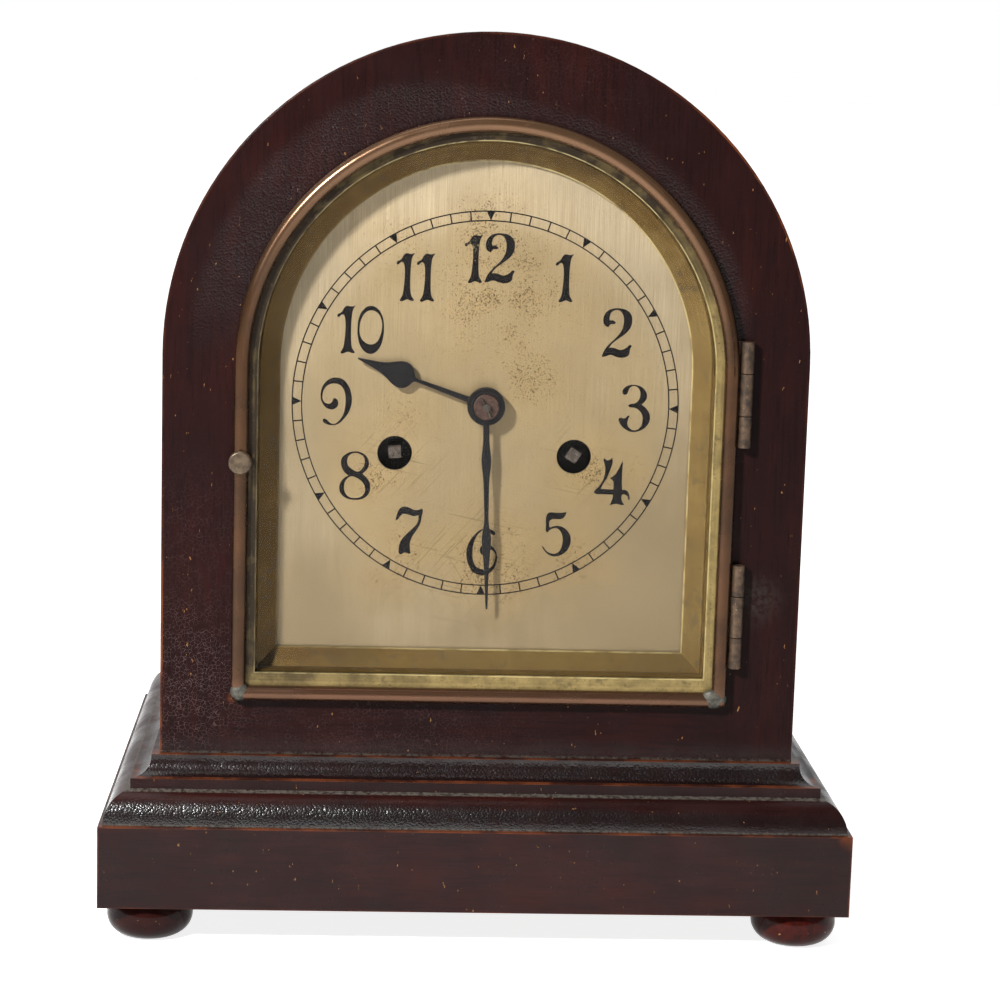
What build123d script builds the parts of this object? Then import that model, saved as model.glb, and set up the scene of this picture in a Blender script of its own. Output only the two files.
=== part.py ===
import os
from math import atan2, cos, degrees, hypot, pi, radians, sin, sqrt

from build123d import *

# Driving sizes of the case, in millimetres.
# X runs to the viewer's right, Z up, and the dial looks along -Y.
plinth_width = 240.0
plinth_depth = 174.0
foot_height = 12.4
fascia_height = 26.6
body_setback = 18.0
back_setback = 4.0
arch_centre_height = 187.2
shell_wall = 10.0
board_thickness = 14.0
rail_thickness = 18.0
back_rail_thickness = 14.0
base_board_thickness = 8.0

# Driving sizes of the front door, which is one arch over a square-cornered opening
door_half = 79.4
door_centre_height = 183.9
door_bottom = 77.0
bezel_width = 4.7
bezel_height = 3.0
flange_thickness = 1.0
lip_half = 71.9
lip_bottom = 86.0
aperture_half = 74.2
glass_thickness = 1.6
reveal_half = 65.4
reveal_wall_depth = 4.7
reveal_slope_depth = 2.4

# Driving sizes of the dial and of the movement behind it
hub_height = 172.0
dial_half = 69.5
dial_thickness = 1.2
dial_depth = 9.6
winder_spacing = 57.4
winder_drop = 16.1
winding_hole_radius = 5.55
square_side = 4.0
plate_width = 112.0
plate_height = 112.0
plate_drop = 37.9
plate_thickness = 2.0
plate_gap = 32.0
motion_space = 11.2
minute_hand_length = 65.5
hour_hand_length = 43.4

# Clearances and allowances shared by every piece
seat_gap = 0.3
sheet_gap = 0.1
running_fit = 0.05
swing_gap = 0.6
overrun = 3.0
arris = 0.6

# Places worked out from the driving sizes.
# A distance called front or back is measured from the middle of the case towards the viewer.
half_plinth = plinth_width / 2
plinth_front_at = plinth_depth / 2
plinth_base = foot_height
fascia_top = plinth_base + fascia_height
case_radius = half_plinth - body_setback
case_front = plinth_front_at - body_setback
case_back = back_setback - plinth_front_at
board_back = case_front - board_thickness
shell_inner = case_radius - shell_wall
winder_x = winder_spacing / 2
winder_height = hub_height - winder_drop

os.makedirs("parts", exist_ok=True)


def finish(piece, name):
    piece.part.label = name
    export_step(piece.part, f"parts/{name}.step")


def facing(front):
    # A sketch plane that looks at the viewer, with local x to the right and local y up
    return Plane.XZ.offset(front)


def arch(half, centre_height, bottom):
    # A round arch over a square-cornered lower half
    with BuildSketch() as outline:
        with BuildLine():
            left = Line((-half, centre_height), (-half, bottom))
            base = Line(left @ 1, (half, bottom))
            right = Line(base @ 1, (half, centre_height))
            ThreePointArc(right @ 1, (0, centre_height + half), left @ 0)
        make_face()
    return outline.sketch


def door_arch(half):
    # Every line of the door is an even offset of the flange's inner lip
    return arch(half, door_centre_height, lip_bottom + lip_half - half)


def rod(base, axis, radius, length, mode=Mode.ADD):
    # A round bar from a point along a direction
    with BuildSketch(Plane(origin=base, z_dir=axis)) as disc:
        Circle(radius)
    extrude(disc.sketch, amount=length, mode=mode)


def turned(x, height, radius, front, back, mode=Mode.ADD):
    # A round bar that lies front to back
    with BuildSketch(facing(back)) as disc:
        with Locations((x, height)):
            Circle(radius)
    extrude(disc.sketch, amount=front - back, mode=mode)


def block(x_low, x_high, front, back, low, high, mode=Mode.ADD):
    # A square block between two sides, two depths and two heights
    with BuildSketch(facing(back)) as outline:
        with Locations(((x_low + x_high) / 2, (low + high) / 2)):
            Rectangle(x_high - x_low, high - low)
    extrude(outline.sketch, amount=front - back, mode=mode)


# Bun feet, each a turned button with a flat base
foot_radius = 13.75
foot_base_radius = 6.6
foot_neck_radius = 12.6
foot_belly_height = 7.4
foot_inset = 15.5
foot_screw_radius = 1.6
foot_screw_reach = 12.0
foot_screw_head_radius = 3.2
foot_screw_head_height = 2.4
foot_dish_depth = 3.0
foot_haunch_share = (0.74, 0.27)
foot_shoulder_share = (0.6, 0.55)

foot_x = half_plinth - foot_inset
foot_y = plinth_front_at - foot_inset
foot_places = {
    "front_left": (-foot_x, -foot_y),
    "front_right": (foot_x, -foot_y),
    "rear_left": (-foot_x, foot_y),
    "rear_right": (foot_x, foot_y),
}
haunch = (
    foot_base_radius + foot_haunch_share[0] * (foot_radius - foot_base_radius),
    foot_haunch_share[1] * foot_belly_height,
)
shoulder = (
    foot_neck_radius + foot_shoulder_share[0] * (foot_radius - foot_neck_radius),
    foot_belly_height + foot_shoulder_share[1] * (foot_height - foot_belly_height),
)

for place, (x, y) in foot_places.items():
    with BuildPart() as foot:
        with BuildSketch(Plane(origin=(x, y, 0), x_dir=(1, 0, 0), z_dir=(0, -1, 0))):
            with BuildLine():
                base = Line((0, 0), (foot_base_radius, 0))
                belly = ThreePointArc(base @ 1, haunch, (foot_radius, foot_belly_height))
                neck = ThreePointArc(belly @ 1, shoulder, (foot_neck_radius, foot_height))
                top = Line(neck @ 1, (0, foot_height))
                Line(top @ 1, base @ 0)
            make_face()
        revolve(axis=Axis((x, y, 0), (0, 0, 1)))
        rod((x, y, 0), (0, 0, 1), foot_screw_head_radius, foot_dish_depth, Mode.SUBTRACT)
        rod((x, y, 0), (0, 0, 1), foot_screw_radius, foot_height, Mode.SUBTRACT)
    finish(foot, f"foot_{place}")

with BuildPart() as foot_screws:
    for x, y in foot_places.values():
        head_base = foot_dish_depth - foot_screw_head_height
        rod((x, y, head_base), (0, 0, 1), foot_screw_head_radius, foot_screw_head_height)
        shank = foot_height + foot_screw_reach - foot_dish_depth
        rod((x, y, foot_dish_depth), (0, 0, 1), foot_screw_radius, shank)
finish(foot_screws, "foot_screws")


def drill_foot_screws():
    with BuildSketch(Plane.XY.offset(plinth_base)) as holes:
        with Locations(*foot_places.values()):
            Circle(foot_screw_radius)
    extrude(holes.sketch, amount=foot_screw_reach, mode=Mode.SUBTRACT)


# Moulding above the fascia: a toe, a tall ovolo, a fillet, a cove and a top ledge.
# Its section is drawn with x as the inset from the plinth's face and y as the height.
moulding_toe = 1.5
ovolo_width = 8.0
ovolo_height = 9.9
fillet_height = 3.5
cove_ledge = 1.0
cove_width = 5.1
cove_height = 5.4
cap_height = 1.0

fillet_inset = moulding_toe + ovolo_width
cove_inset = fillet_inset + cove_ledge
cove_foot = ovolo_height + fillet_height
cap_foot = cove_foot + cove_height
moulding_height = cap_foot + cap_height
moulding_inner = body_setback + board_thickness
plinth_top = fascia_top + moulding_height


def moulding_section(plane):
    with BuildSketch(plane) as section:
        with BuildLine():
            toe = Line((moulding_inner, 0), (moulding_toe, 0))
            EllipticalCenterArc((fillet_inset, 0), ovolo_width, ovolo_height, start_angle=90, arc_size=90)
            upright = Line((fillet_inset, ovolo_height), (fillet_inset, cove_foot))
            Line(upright @ 1, (cove_inset, cove_foot))
            EllipticalCenterArc((cove_inset, cap_foot), cove_width, cove_height, start_angle=270, arc_size=90)
            cap = Line((cove_inset + cove_width, cap_foot), (cove_inset + cove_width, moulding_height))
            top = Line(cap @ 1, (moulding_inner, moulding_height))
            Line(top @ 1, toe @ 0)
        make_face()
    return section.sketch


def mitre_plane(side):
    # The upright plane through a front corner of the plinth, at 45 degrees
    return Plane(origin=(side * half_plinth, -plinth_front_at, 0), z_dir=(-side, -1, 0))


with BuildPart() as moulding_front:
    section_plane = Plane(origin=(0, -plinth_front_at, fascia_top), x_dir=(0, 1, 0), z_dir=(1, 0, 0))
    extrude(moulding_section(section_plane), amount=half_plinth + overrun, both=True)
    for side in (-1, 1):
        split(bisect_by=mitre_plane(side), keep=Keep.TOP)
finish(moulding_front, "moulding_front")

# Plinth rails under the moulding, mitred at the two front corners
with BuildPart() as plinth_front:
    with BuildSketch(Plane.XY.offset(plinth_base)):
        with BuildLine():
            Polyline(
                (-half_plinth, -plinth_front_at),
                (half_plinth, -plinth_front_at),
                (half_plinth - rail_thickness, rail_thickness - plinth_front_at),
                (rail_thickness - half_plinth, rail_thickness - plinth_front_at),
                close=True,
            )
        make_face()
    extrude(amount=fascia_height)
    drill_foot_screws()
finish(plinth_front, "plinth_front")

for side, hand in ((-1, "left"), (1, "right")):
    with BuildPart() as moulding_side:
        corner = (side * half_plinth, 0, fascia_top)
        side_plane = Plane(origin=corner, x_dir=(-side, 0, 0), z_dir=(0, side, 0))
        extrude(moulding_section(side_plane), amount=plinth_front_at, both=True)
        split(bisect_by=mitre_plane(side), keep=Keep.BOTTOM)
    finish(moulding_side, f"moulding_{hand}")

    with BuildPart() as plinth_side:
        with BuildSketch(Plane.XY.offset(plinth_base)):
            with BuildLine():
                Polyline(
                    (side * half_plinth, -plinth_front_at),
                    (side * half_plinth, plinth_front_at),
                    (side * (half_plinth - rail_thickness), plinth_front_at),
                    (side * (half_plinth - rail_thickness), rail_thickness - plinth_front_at),
                    close=True,
                )
            make_face()
        extrude(amount=fascia_height)
        drill_foot_screws()
    finish(plinth_side, f"plinth_{hand}")

# Back rail, which closes the plinth between the side rails and between the side mouldings
back_rail_y = plinth_front_at - back_rail_thickness / 2

with BuildPart() as plinth_back:
    with BuildSketch(Plane.XY.offset(plinth_base)):
        with Locations((0, back_rail_y)):
            Rectangle(2 * (half_plinth - rail_thickness), back_rail_thickness)
    extrude(amount=fascia_height)
    with BuildSketch(Plane.XY.offset(fascia_top)):
        with Locations((0, back_rail_y)):
            Rectangle(2 * (half_plinth - moulding_inner), back_rail_thickness)
    extrude(amount=moulding_height)
finish(plinth_back, "plinth_back")

# Base board, let in flush with the top of the moulding
base_front_y = moulding_inner - plinth_front_at
base_back_y = plinth_front_at - back_rail_thickness

with BuildPart() as base_board:
    with BuildSketch(Plane.XY.offset(plinth_top)):
        with Locations((0, (base_front_y + base_back_y) / 2)):
            Rectangle(2 * (half_plinth - moulding_inner), base_back_y - base_front_y)
    extrude(amount=-base_board_thickness)
finish(base_board, "base_board")

# Hinges of the front door: three knuckles on each, of which the middle one turns with the door
hinge_length = 33.6
hinge_heights = (178.6, 107.0)
knuckle_radius = 2.0
knuckle_shares = (0.3, 0.4, 0.3)
hinge_pin_radius = 0.8
hinge_web = 1.4
hinge_leaf_thickness = 1.0
hinge_leaf_width = 6.4
hinge_screw_radius = 1.0
hinge_screw_length = 7.0
hinge_screw_share = 0.32
knuckle_gap = 0.3

hinge_x = door_half + seat_gap + knuckle_radius
hinge_front = case_front + seat_gap + knuckle_radius
hinge_leaf_front = case_front
hinge_leaf_back = case_front - hinge_leaf_thickness
hinge_screw_x = hinge_x - hinge_leaf_width / 2

# Knob and tongue that keep the front door shut, in a pocket in the board's left edge
knob_height = 154.1
knob_radius = 3.7
knob_thickness = 2.2
knob_stem_radius = 1.3
tongue_length = 4.6
tongue_thickness = 1.2
tongue_width = 2.2
keeper_depth = 3.2
pocket_slack = 1.2

knob_x = -(door_half - bezel_width / 2)
knob_back = case_front + seat_gap + flange_thickness + bezel_height + seat_gap
tongue_front = case_front - keeper_depth - swing_gap
tongue_back = tongue_front - tongue_thickness


# Front board with the arched opening for the door
with BuildPart() as front_board:
    with BuildSketch(facing(board_back)):
        add(arch(case_radius, arch_centre_height, plinth_top))
        add(door_arch(aperture_half), mode=Mode.SUBTRACT)
    extrude(amount=board_thickness)
    rim_edges = front_board.faces().sort_by(Axis.Y)[0].edges().filter_by(
        lambda edge: edge.bounding_box().max.Z > plinth_top + arris
        and hypot(edge.center().X, max(edge.center().Z - arch_centre_height, 0)) > case_radius - shell_wall
    )
    fillet(rim_edges, arris)
    for height in hinge_heights:
        block(
            hinge_x - hinge_leaf_width,
            hinge_x + hinge_web / 2,
            case_front,
            hinge_leaf_back,
            height - hinge_length / 2,
            height + hinge_length / 2,
            mode=Mode.SUBTRACT,
        )
        for step in (-1, 1):
            turned(
                hinge_screw_x,
                height + step * hinge_screw_share * hinge_length,
                hinge_screw_radius,
                hinge_leaf_back,
                hinge_leaf_front - hinge_screw_length,
                Mode.SUBTRACT,
            )
    block(
        knob_x - tongue_width / 2 - pocket_slack,
        -aperture_half + overrun,
        case_front,
        tongue_back - pocket_slack,
        knob_height - tongue_width / 2 - pocket_slack,
        knob_height + tongue_length + pocket_slack,
        mode=Mode.SUBTRACT,
    )
    block(
        knob_x - tongue_length - pocket_slack,
        -aperture_half,
        tongue_front + swing_gap,
        tongue_back - pocket_slack,
        knob_height - tongue_width / 2 - pocket_slack,
        knob_height + tongue_length + pocket_slack,
        mode=Mode.SUBTRACT,
    )
finish(front_board, "front_board")

# Bent shell: the two sides and the arched top in one sheet
with BuildPart() as case_shell:
    with BuildSketch(facing(case_back)):
        add(arch(case_radius, arch_centre_height, plinth_top))
        add(arch(shell_inner, arch_centre_height, plinth_top - overrun), mode=Mode.SUBTRACT)
    extrude(amount=board_back - case_back)
finish(case_shell, "case_shell")

# Back frame and the rear door that closes on it
frame_width = 12.0
frame_depth = 10.0
rear_door_thickness = 4.0
rear_door_gap = 1.0
rear_knuckle_radius = 1.3
rear_knuckle_length = 26.0
rear_leaf_thickness = 0.8
rear_leaf_width = 9.0
rear_pin_radius = 0.6
rear_hinge_heights = (185.0, 90.0)
rear_hinge_shares = (0.32, 0.36, 0.32)
latch_radius = 6.0
latch_thickness = 2.2
latch_stem_radius = 1.8
latch_height = 140.0
latch_tongue_length = 9.0
latch_tongue_width = 4.0
latch_tongue_thickness = 1.4
latch_inset = 5.0

rear_door_front = case_back + rear_door_thickness
frame_front = rear_door_front + frame_depth
frame_inner = shell_inner - frame_width
rear_door_half = shell_inner - rear_door_gap
rear_door_bottom = plinth_top + rear_door_gap
rear_hinge_x = -(shell_inner - rear_knuckle_radius)
rear_hinge_back = case_back - rear_knuckle_radius - sheet_gap
latch_x = frame_inner - latch_inset
latch_back = case_back - latch_thickness - sheet_gap

with BuildPart() as back_frame:
    with BuildSketch(facing(rear_door_front)):
        add(arch(shell_inner, arch_centre_height, plinth_top))
        add(arch(frame_inner, arch_centre_height, plinth_top + frame_width), mode=Mode.SUBTRACT)
    extrude(amount=frame_depth)
finish(back_frame, "back_frame")

with BuildPart() as rear_door:
    with BuildSketch(facing(case_back)):
        add(arch(rear_door_half, arch_centre_height, rear_door_bottom))
        with Locations((latch_x, latch_height)):
            Circle(latch_stem_radius + running_fit, mode=Mode.SUBTRACT)
    extrude(amount=rear_door_thickness)
    for height in rear_hinge_heights:
        block(
            -rear_door_half - overrun,
            rear_hinge_x + rear_leaf_width,
            case_back + rear_leaf_thickness,
            case_back - overrun,
            height - rear_knuckle_length / 2,
            height + rear_knuckle_length / 2,
            mode=Mode.SUBTRACT,
        )
finish(rear_door, "rear_door")


def knuckles(x, height, front, length, radius, shares, picked, bore):
    # The picked knuckles of a hinge barrel, counted from its lower end
    for index in picked:
        low = height + length * (sum(shares[:index]) - 1 / 2)
        base = (x, -front, low + (knuckle_gap / 2 if index else 0))
        cut = knuckle_gap if index == 1 else knuckle_gap / 2
        rod(base, (0, 0, 1), radius, length * shares[index] - cut)
    rod((x, -front, height - length / 2), (0, 0, 1), bore, length, Mode.SUBTRACT)


def knuckle_span(height, length, shares, index):
    # The lower and upper ends of one knuckle
    low = height + length * (sum(shares[:index]) - 1 / 2) + (knuckle_gap / 2 if index else 0)
    return low, low + length * shares[index] - (knuckle_gap if index == 1 else knuckle_gap / 2)


# Rear door hinges: the fixed leaves lie on the shell's edge, the others are let into the door
with BuildPart() as rear_hinge_fixed:
    for height in rear_hinge_heights:
        block(
            rear_hinge_x - rear_leaf_width,
            -shell_inner - seat_gap,
            case_back,
            case_back - rear_leaf_thickness,
            height - rear_knuckle_length / 2,
            height + rear_knuckle_length / 2,
        )
        for index in (0, 2):
            low, high = knuckle_span(height, rear_knuckle_length, rear_hinge_shares, index)
            block(
                -shell_inner - 2 * seat_gap,
                rear_hinge_x,
                case_back - sheet_gap,
                case_back - rear_leaf_thickness,
                low,
                high,
            )
        knuckles(
            rear_hinge_x,
            height,
            rear_hinge_back,
            rear_knuckle_length,
            rear_knuckle_radius,
            rear_hinge_shares,
            (0, 2),
            rear_pin_radius,
        )
        pin_foot = (rear_hinge_x, -rear_hinge_back, height - rear_knuckle_length / 2)
        rod(pin_foot, (0, 0, 1), rear_pin_radius, rear_knuckle_length)
finish(rear_hinge_fixed, "rear_hinge_fixed")

with BuildPart() as rear_hinge_straps:
    for height in rear_hinge_heights:
        low, high = knuckle_span(height, rear_knuckle_length, rear_hinge_shares, 1)
        block(
            rear_hinge_x + rear_knuckle_radius + seat_gap,
            rear_hinge_x + rear_leaf_width,
            case_back + rear_leaf_thickness,
            case_back,
            height - rear_knuckle_length / 2,
            height + rear_knuckle_length / 2,
        )
        block(
            rear_hinge_x,
            rear_hinge_x + 2 * rear_knuckle_radius,
            case_back + rear_leaf_thickness / 2,
            case_back - rear_leaf_thickness,
            low,
            high,
        )
        knuckles(
            rear_hinge_x,
            height,
            rear_hinge_back,
            rear_knuckle_length,
            rear_knuckle_radius,
            rear_hinge_shares,
            (1,),
            rear_pin_radius + running_fit,
        )
finish(rear_hinge_straps, "rear_hinge_straps")

# Turn latch of the rear door, which swings a tongue behind the frame
latch_tongue_front = frame_front + swing_gap + latch_tongue_thickness

with BuildPart() as rear_latch:
    turned(latch_x, latch_height, latch_radius, case_back - sheet_gap, latch_back)
    fillet(rear_latch.faces().sort_by(Axis.Y)[-1].edges(), latch_thickness / 2)
    turned(latch_x, latch_height, latch_stem_radius, latch_tongue_front, case_back - sheet_gap)
    block(
        latch_x - latch_tongue_width / 2,
        latch_x + latch_tongue_width / 2,
        latch_tongue_front,
        latch_tongue_front - latch_tongue_thickness,
        latch_height - latch_tongue_width / 2,
        latch_height + latch_tongue_length,
    )
finish(rear_latch, "rear_latch")

# Front door: a pressed flange with a rim, and a half-round bezel on its outer edge
flange_inset = 0.2
rim_step = 1.1
rim_wall = 0.8
bezel_round = 2.2
bezel_corner = 1.6
reveal_wall = 0.6
reveal_lip = 0.6

flange_back = case_front + seat_gap
flange_front = flange_back + flange_thickness
rim_half = lip_half + rim_step
glass_half = rim_half - rim_wall - sheet_gap
glass_back = flange_back - glass_thickness
slope_front = glass_back - reveal_wall_depth
slope_back = slope_front - reveal_slope_depth
reveal_back = slope_back - reveal_lip


def stem_hole():
    bore = knob_stem_radius + running_fit
    turned(knob_x, knob_height, bore, case_front + overrun * 2, case_front, Mode.SUBTRACT)


with BuildPart() as door_flange:
    with BuildSketch(facing(flange_back)):
        add(arch(door_half - flange_inset, door_centre_height, door_bottom + flange_inset))
        add(door_arch(lip_half), mode=Mode.SUBTRACT)
    extrude(amount=flange_thickness)
    with BuildSketch(facing(reveal_back)):
        add(door_arch(rim_half))
        add(door_arch(rim_half - rim_wall), mode=Mode.SUBTRACT)
    extrude(amount=flange_back - reveal_back)
    stem_hole()
finish(door_flange, "door_flange")

with BuildPart() as door_bezel:
    with BuildSketch(facing(flange_front)):
        add(arch(door_half, door_centre_height, door_bottom))
        add(
            arch(door_half - bezel_width, door_centre_height, door_bottom + bezel_width),
            mode=Mode.SUBTRACT,
        )
    extrude(amount=bezel_height)
    corners = door_bezel.edges().filter_by(Axis.Y).filter_by(
        lambda edge: edge.center().Z < door_bottom + bezel_width / 2
    )
    fillet(corners, bezel_corner)
    fillet(door_bezel.faces().sort_by(Axis.Y)[0].edges(), bezel_round)
    stem_hole()
finish(door_bezel, "door_bezel")

with BuildPart() as door_glass:
    with BuildSketch(facing(glass_back)):
        add(door_arch(glass_half))
    extrude(amount=glass_thickness)
finish(door_glass, "door_glass")

# Sloped reveal behind the glass
with BuildPart() as door_reveal:
    with BuildSketch(facing(reveal_back)):
        add(door_arch(glass_half))
        add(door_arch(reveal_half), mode=Mode.SUBTRACT)
    extrude(amount=glass_back - reveal_back)
    with BuildSketch(facing(slope_front)):
        add(door_arch(glass_half - reveal_wall))
    extrude(amount=glass_back - slope_front, mode=Mode.SUBTRACT)
    with BuildSketch(facing(slope_front)):
        add(door_arch(glass_half - reveal_wall))
    with BuildSketch(facing(slope_back)):
        add(door_arch(reveal_half))
    loft(ruled=True, mode=Mode.SUBTRACT)
finish(door_reveal, "door_reveal")

with BuildPart() as door_knob:
    turned(knob_x, knob_height, knob_radius, knob_back + knob_thickness, knob_back)
    fillet(door_knob.faces().sort_by(Axis.Y)[0].edges(), knob_thickness / 3)
    turned(knob_x, knob_height, knob_stem_radius, knob_back, tongue_back)
    block(
        knob_x - tongue_width / 2,
        knob_x + tongue_width / 2,
        tongue_front,
        tongue_back,
        knob_height,
        knob_height + tongue_length,
    )
finish(door_knob, "door_knob")

# Front hinges, each with a case leaf let into the board, a door knuckle and a pin
with BuildPart() as hinge_case_leaves:
    for height in hinge_heights:
        block(
            hinge_x - hinge_leaf_width,
            hinge_x + hinge_web / 2,
            hinge_leaf_front,
            hinge_leaf_back,
            height - hinge_length / 2,
            height + hinge_length / 2,
        )
        for index in (0, 2):
            low, high = knuckle_span(height, hinge_length, knuckle_shares, index)
            block(hinge_x - hinge_web / 2, hinge_x + hinge_web / 2, hinge_front, hinge_leaf_back, low, high)
        knuckles(
            hinge_x,
            height,
            hinge_front,
            hinge_length,
            knuckle_radius,
            knuckle_shares,
            (0, 2),
            hinge_pin_radius,
        )
        for step in (-1, 1):
            turned(
                hinge_screw_x,
                height + step * hinge_screw_share * hinge_length,
                hinge_screw_radius,
                hinge_leaf_front,
                hinge_leaf_back,
                Mode.SUBTRACT,
            )
finish(hinge_case_leaves, "hinge_case_leaves")

with BuildPart() as hinge_door_leaves:
    for height in hinge_heights:
        low, high = knuckle_span(height, hinge_length, knuckle_shares, 1)
        block(
            door_half - flange_inset,
            hinge_x,
            flange_front,
            flange_back + sheet_gap,
            low,
            high,
        )
        knuckles(
            hinge_x,
            height,
            hinge_front,
            hinge_length,
            knuckle_radius,
            knuckle_shares,
            (1,),
            hinge_pin_radius + running_fit,
        )
finish(hinge_door_leaves, "hinge_door_leaves")

with BuildPart() as hinge_pins:
    for height in hinge_heights:
        rod((hinge_x, -hinge_front, height - hinge_length / 2), (0, 0, 1), hinge_pin_radius, hinge_length)
finish(hinge_pins, "hinge_pins")

with BuildPart() as hinge_screws:
    for height in hinge_heights:
        for step in (-1, 1):
            turned(
                hinge_screw_x,
                height + step * hinge_screw_share * hinge_length,
                hinge_screw_radius,
                hinge_leaf_front,
                hinge_leaf_front - hinge_screw_length,
            )
finish(hinge_screws, "hinge_screws")

# Depths of the dial, the hands and the motion work
hour_lift = 2.0
hand_thickness = 0.7
hand_gap = 1.3
boss_step = 0.5
collar_thickness = 0.7
tip_reach = 1.6
pin_lift = 0.7

dial_front = case_front - dial_depth
dial_back = dial_front - dial_thickness
plate_front = dial_back - motion_space
plate_back = plate_front - plate_thickness
rear_plate_front = plate_back - plate_gap
rear_plate_back = rear_plate_front - plate_thickness
hour_hand_back = dial_front + hour_lift
hour_hand_front = hour_hand_back + hand_thickness
minute_hand_back = hour_hand_front + hand_gap
minute_hand_front = minute_hand_back + hand_thickness
boss_front = minute_hand_front + boss_step
collar_front = boss_front + collar_thickness
arbor_tip = collar_front + tip_reach

# Radii of the nested arbor and pipes at the hub
tip_radius = 1.25
cannon_radius = 2.2
cannon_neck_radius = 1.9
hour_pipe_radius = 3.3
hour_neck_radius = 3.0
hub_clearance = 0.5

# Dial plate with its three holes and its feet
dial_foot_radius = 1.8
dial_foot_tail_radius = 1.1
dial_foot_tail = 3.0
dial_foot_x = 38.0
dial_foot_margin = 6.0

plate_bottom = winder_height - plate_drop
plate_top = plate_bottom + plate_height
dial_foot_places = [
    (side * dial_foot_x, height)
    for side in (-1, 1)
    for height in (plate_bottom + dial_foot_margin, plate_top - dial_foot_margin)
]

with BuildPart() as dial_plate:
    with BuildSketch(facing(dial_back)):
        add(door_arch(dial_half))
        with Locations((0, hub_height)):
            Circle(hour_pipe_radius + hub_clearance, mode=Mode.SUBTRACT)
        with Locations((-winder_x, winder_height), (winder_x, winder_height)):
            Circle(winding_hole_radius, mode=Mode.SUBTRACT)
    extrude(amount=dial_thickness)
finish(dial_plate, "dial_plate")

with BuildPart() as dial_feet:
    for x, height in dial_foot_places:
        turned(x, height, dial_foot_radius, dial_back, plate_front)
        turned(x, height, dial_foot_tail_radius, plate_front, plate_front - dial_foot_tail)
finish(dial_feet, "dial_feet")

# Hands, drawn pointing up from the hub and then turned clockwise
hour_hand_angle = 289.3
minute_hand_angle = 178.4
hand_boss_radius = 6.0
minute_step_radius = 4.7
hour_outline_shares = (
    (0.0, 0.24),
    (0.54, 0.13),
    (0.575, 0.42),
    (0.605, 0.84),
    (0.655, 1.0),
    (0.71, 0.87),
    (0.77, 0.56),
    (0.84, 0.33),
    (0.91, 0.2),
    (1.0, 0.05),
)
hour_pear_half = 4.25
minute_outline_shares = (
    (0.0, 0.58),
    (0.16, 0.64),
    (0.265, 1.0),
    (0.33, 0.74),
    (0.49, 0.48),
    (0.58, 0.54),
    (0.637, 0.93),
    (0.68, 0.91),
    (0.76, 0.62),
    (0.86, 0.4),
    (1.0, 0.2),
)
minute_swell_half = 1.55


def hand_plane(front, angle):
    turn = radians(angle)
    return Plane(origin=(0, -front, hub_height), x_dir=(cos(turn), 0, -sin(turn)), z_dir=(0, -1, 0))


def hand_blade(length, half_width, shares):
    # A flat blade along local y: a straight stem to the second share, then a smooth curve
    right = [(half_width * width, length * along) for along, width in shares]
    left = [(-x, y) for x, y in right]
    tip_run = (right[-1][0] - right[-2][0], right[-1][1] - right[-2][1])
    with BuildSketch() as blade:
        with BuildLine():
            Line(right[0], right[1])
            Spline(*right[1:], tangents=[(0, 1), tip_run])
            Line(right[-1], left[-1])
            Spline(*left[1:], tangents=[(0, 1), (-tip_run[0], tip_run[1])])
            Line(left[1], left[0])
            Line(left[0], right[0])
        make_face()
    return blade.sketch


with BuildPart() as hour_hand:
    with BuildSketch(hand_plane(hour_hand_back, hour_hand_angle)):
        add(hand_blade(hour_hand_length, hour_pear_half, hour_outline_shares))
        Circle(hand_boss_radius)
        Circle(hour_neck_radius, mode=Mode.SUBTRACT)
    extrude(amount=hand_thickness)
finish(hour_hand, "hour_hand")

with BuildPart() as minute_hand:
    with BuildSketch(hand_plane(minute_hand_back, minute_hand_angle)):
        add(hand_blade(minute_hand_length, minute_swell_half, minute_outline_shares))
        Circle(hand_boss_radius)
        Circle(cannon_neck_radius, mode=Mode.SUBTRACT)
    extrude(amount=hand_thickness)
    with BuildSketch(hand_plane(minute_hand_front, minute_hand_angle)):
        Circle(minute_step_radius)
        Circle(cannon_neck_radius, mode=Mode.SUBTRACT)
    extrude(amount=boss_step)
finish(minute_hand, "minute_hand")

# Dished collar and taper pin that hold the minute hand
collar_radius = 4.1
pin_thick_radius = 0.55
pin_thin_radius = 0.3
pin_length = 6.6
pin_angle = 28.0

with BuildPart() as hand_collar:
    turned(0, hub_height, collar_radius, collar_front, boss_front)
    turned(0, hub_height, tip_radius, collar_front, boss_front, Mode.SUBTRACT)
    fillet(hand_collar.faces().sort_by(Axis.Y)[0].edges().sort_by(SortBy.LENGTH)[-1], collar_thickness / 2)
finish(hand_collar, "hand_collar")

pin_axis = (sin(radians(pin_angle)), 0, -cos(radians(pin_angle)))
pin_front = collar_front + pin_lift
pin_start = (-pin_axis[0] * pin_length / 2, -pin_front, hub_height - pin_axis[2] * pin_length / 2)
pin_plane = Plane(origin=pin_start, z_dir=pin_axis)

with BuildPart() as taper_pin:
    with BuildSketch(pin_plane):
        Circle(pin_thin_radius)
    with BuildSketch(pin_plane.offset(pin_length)):
        Circle(pin_thick_radius)
    loft()
finish(taper_pin, "taper_pin")

# Toothed wheels. Each tooth is a tapered block, its sizes shares of the module or the pitch.
addendum_share = 0.7
dedendum_share = 0.95
tooth_tip_share = 0.08
tooth_root_share = 0.21
pivot_radius = 0.8
pivot_reach = 0.6
wheel_thickness = 1.4
pinion_length = 3.0


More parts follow.
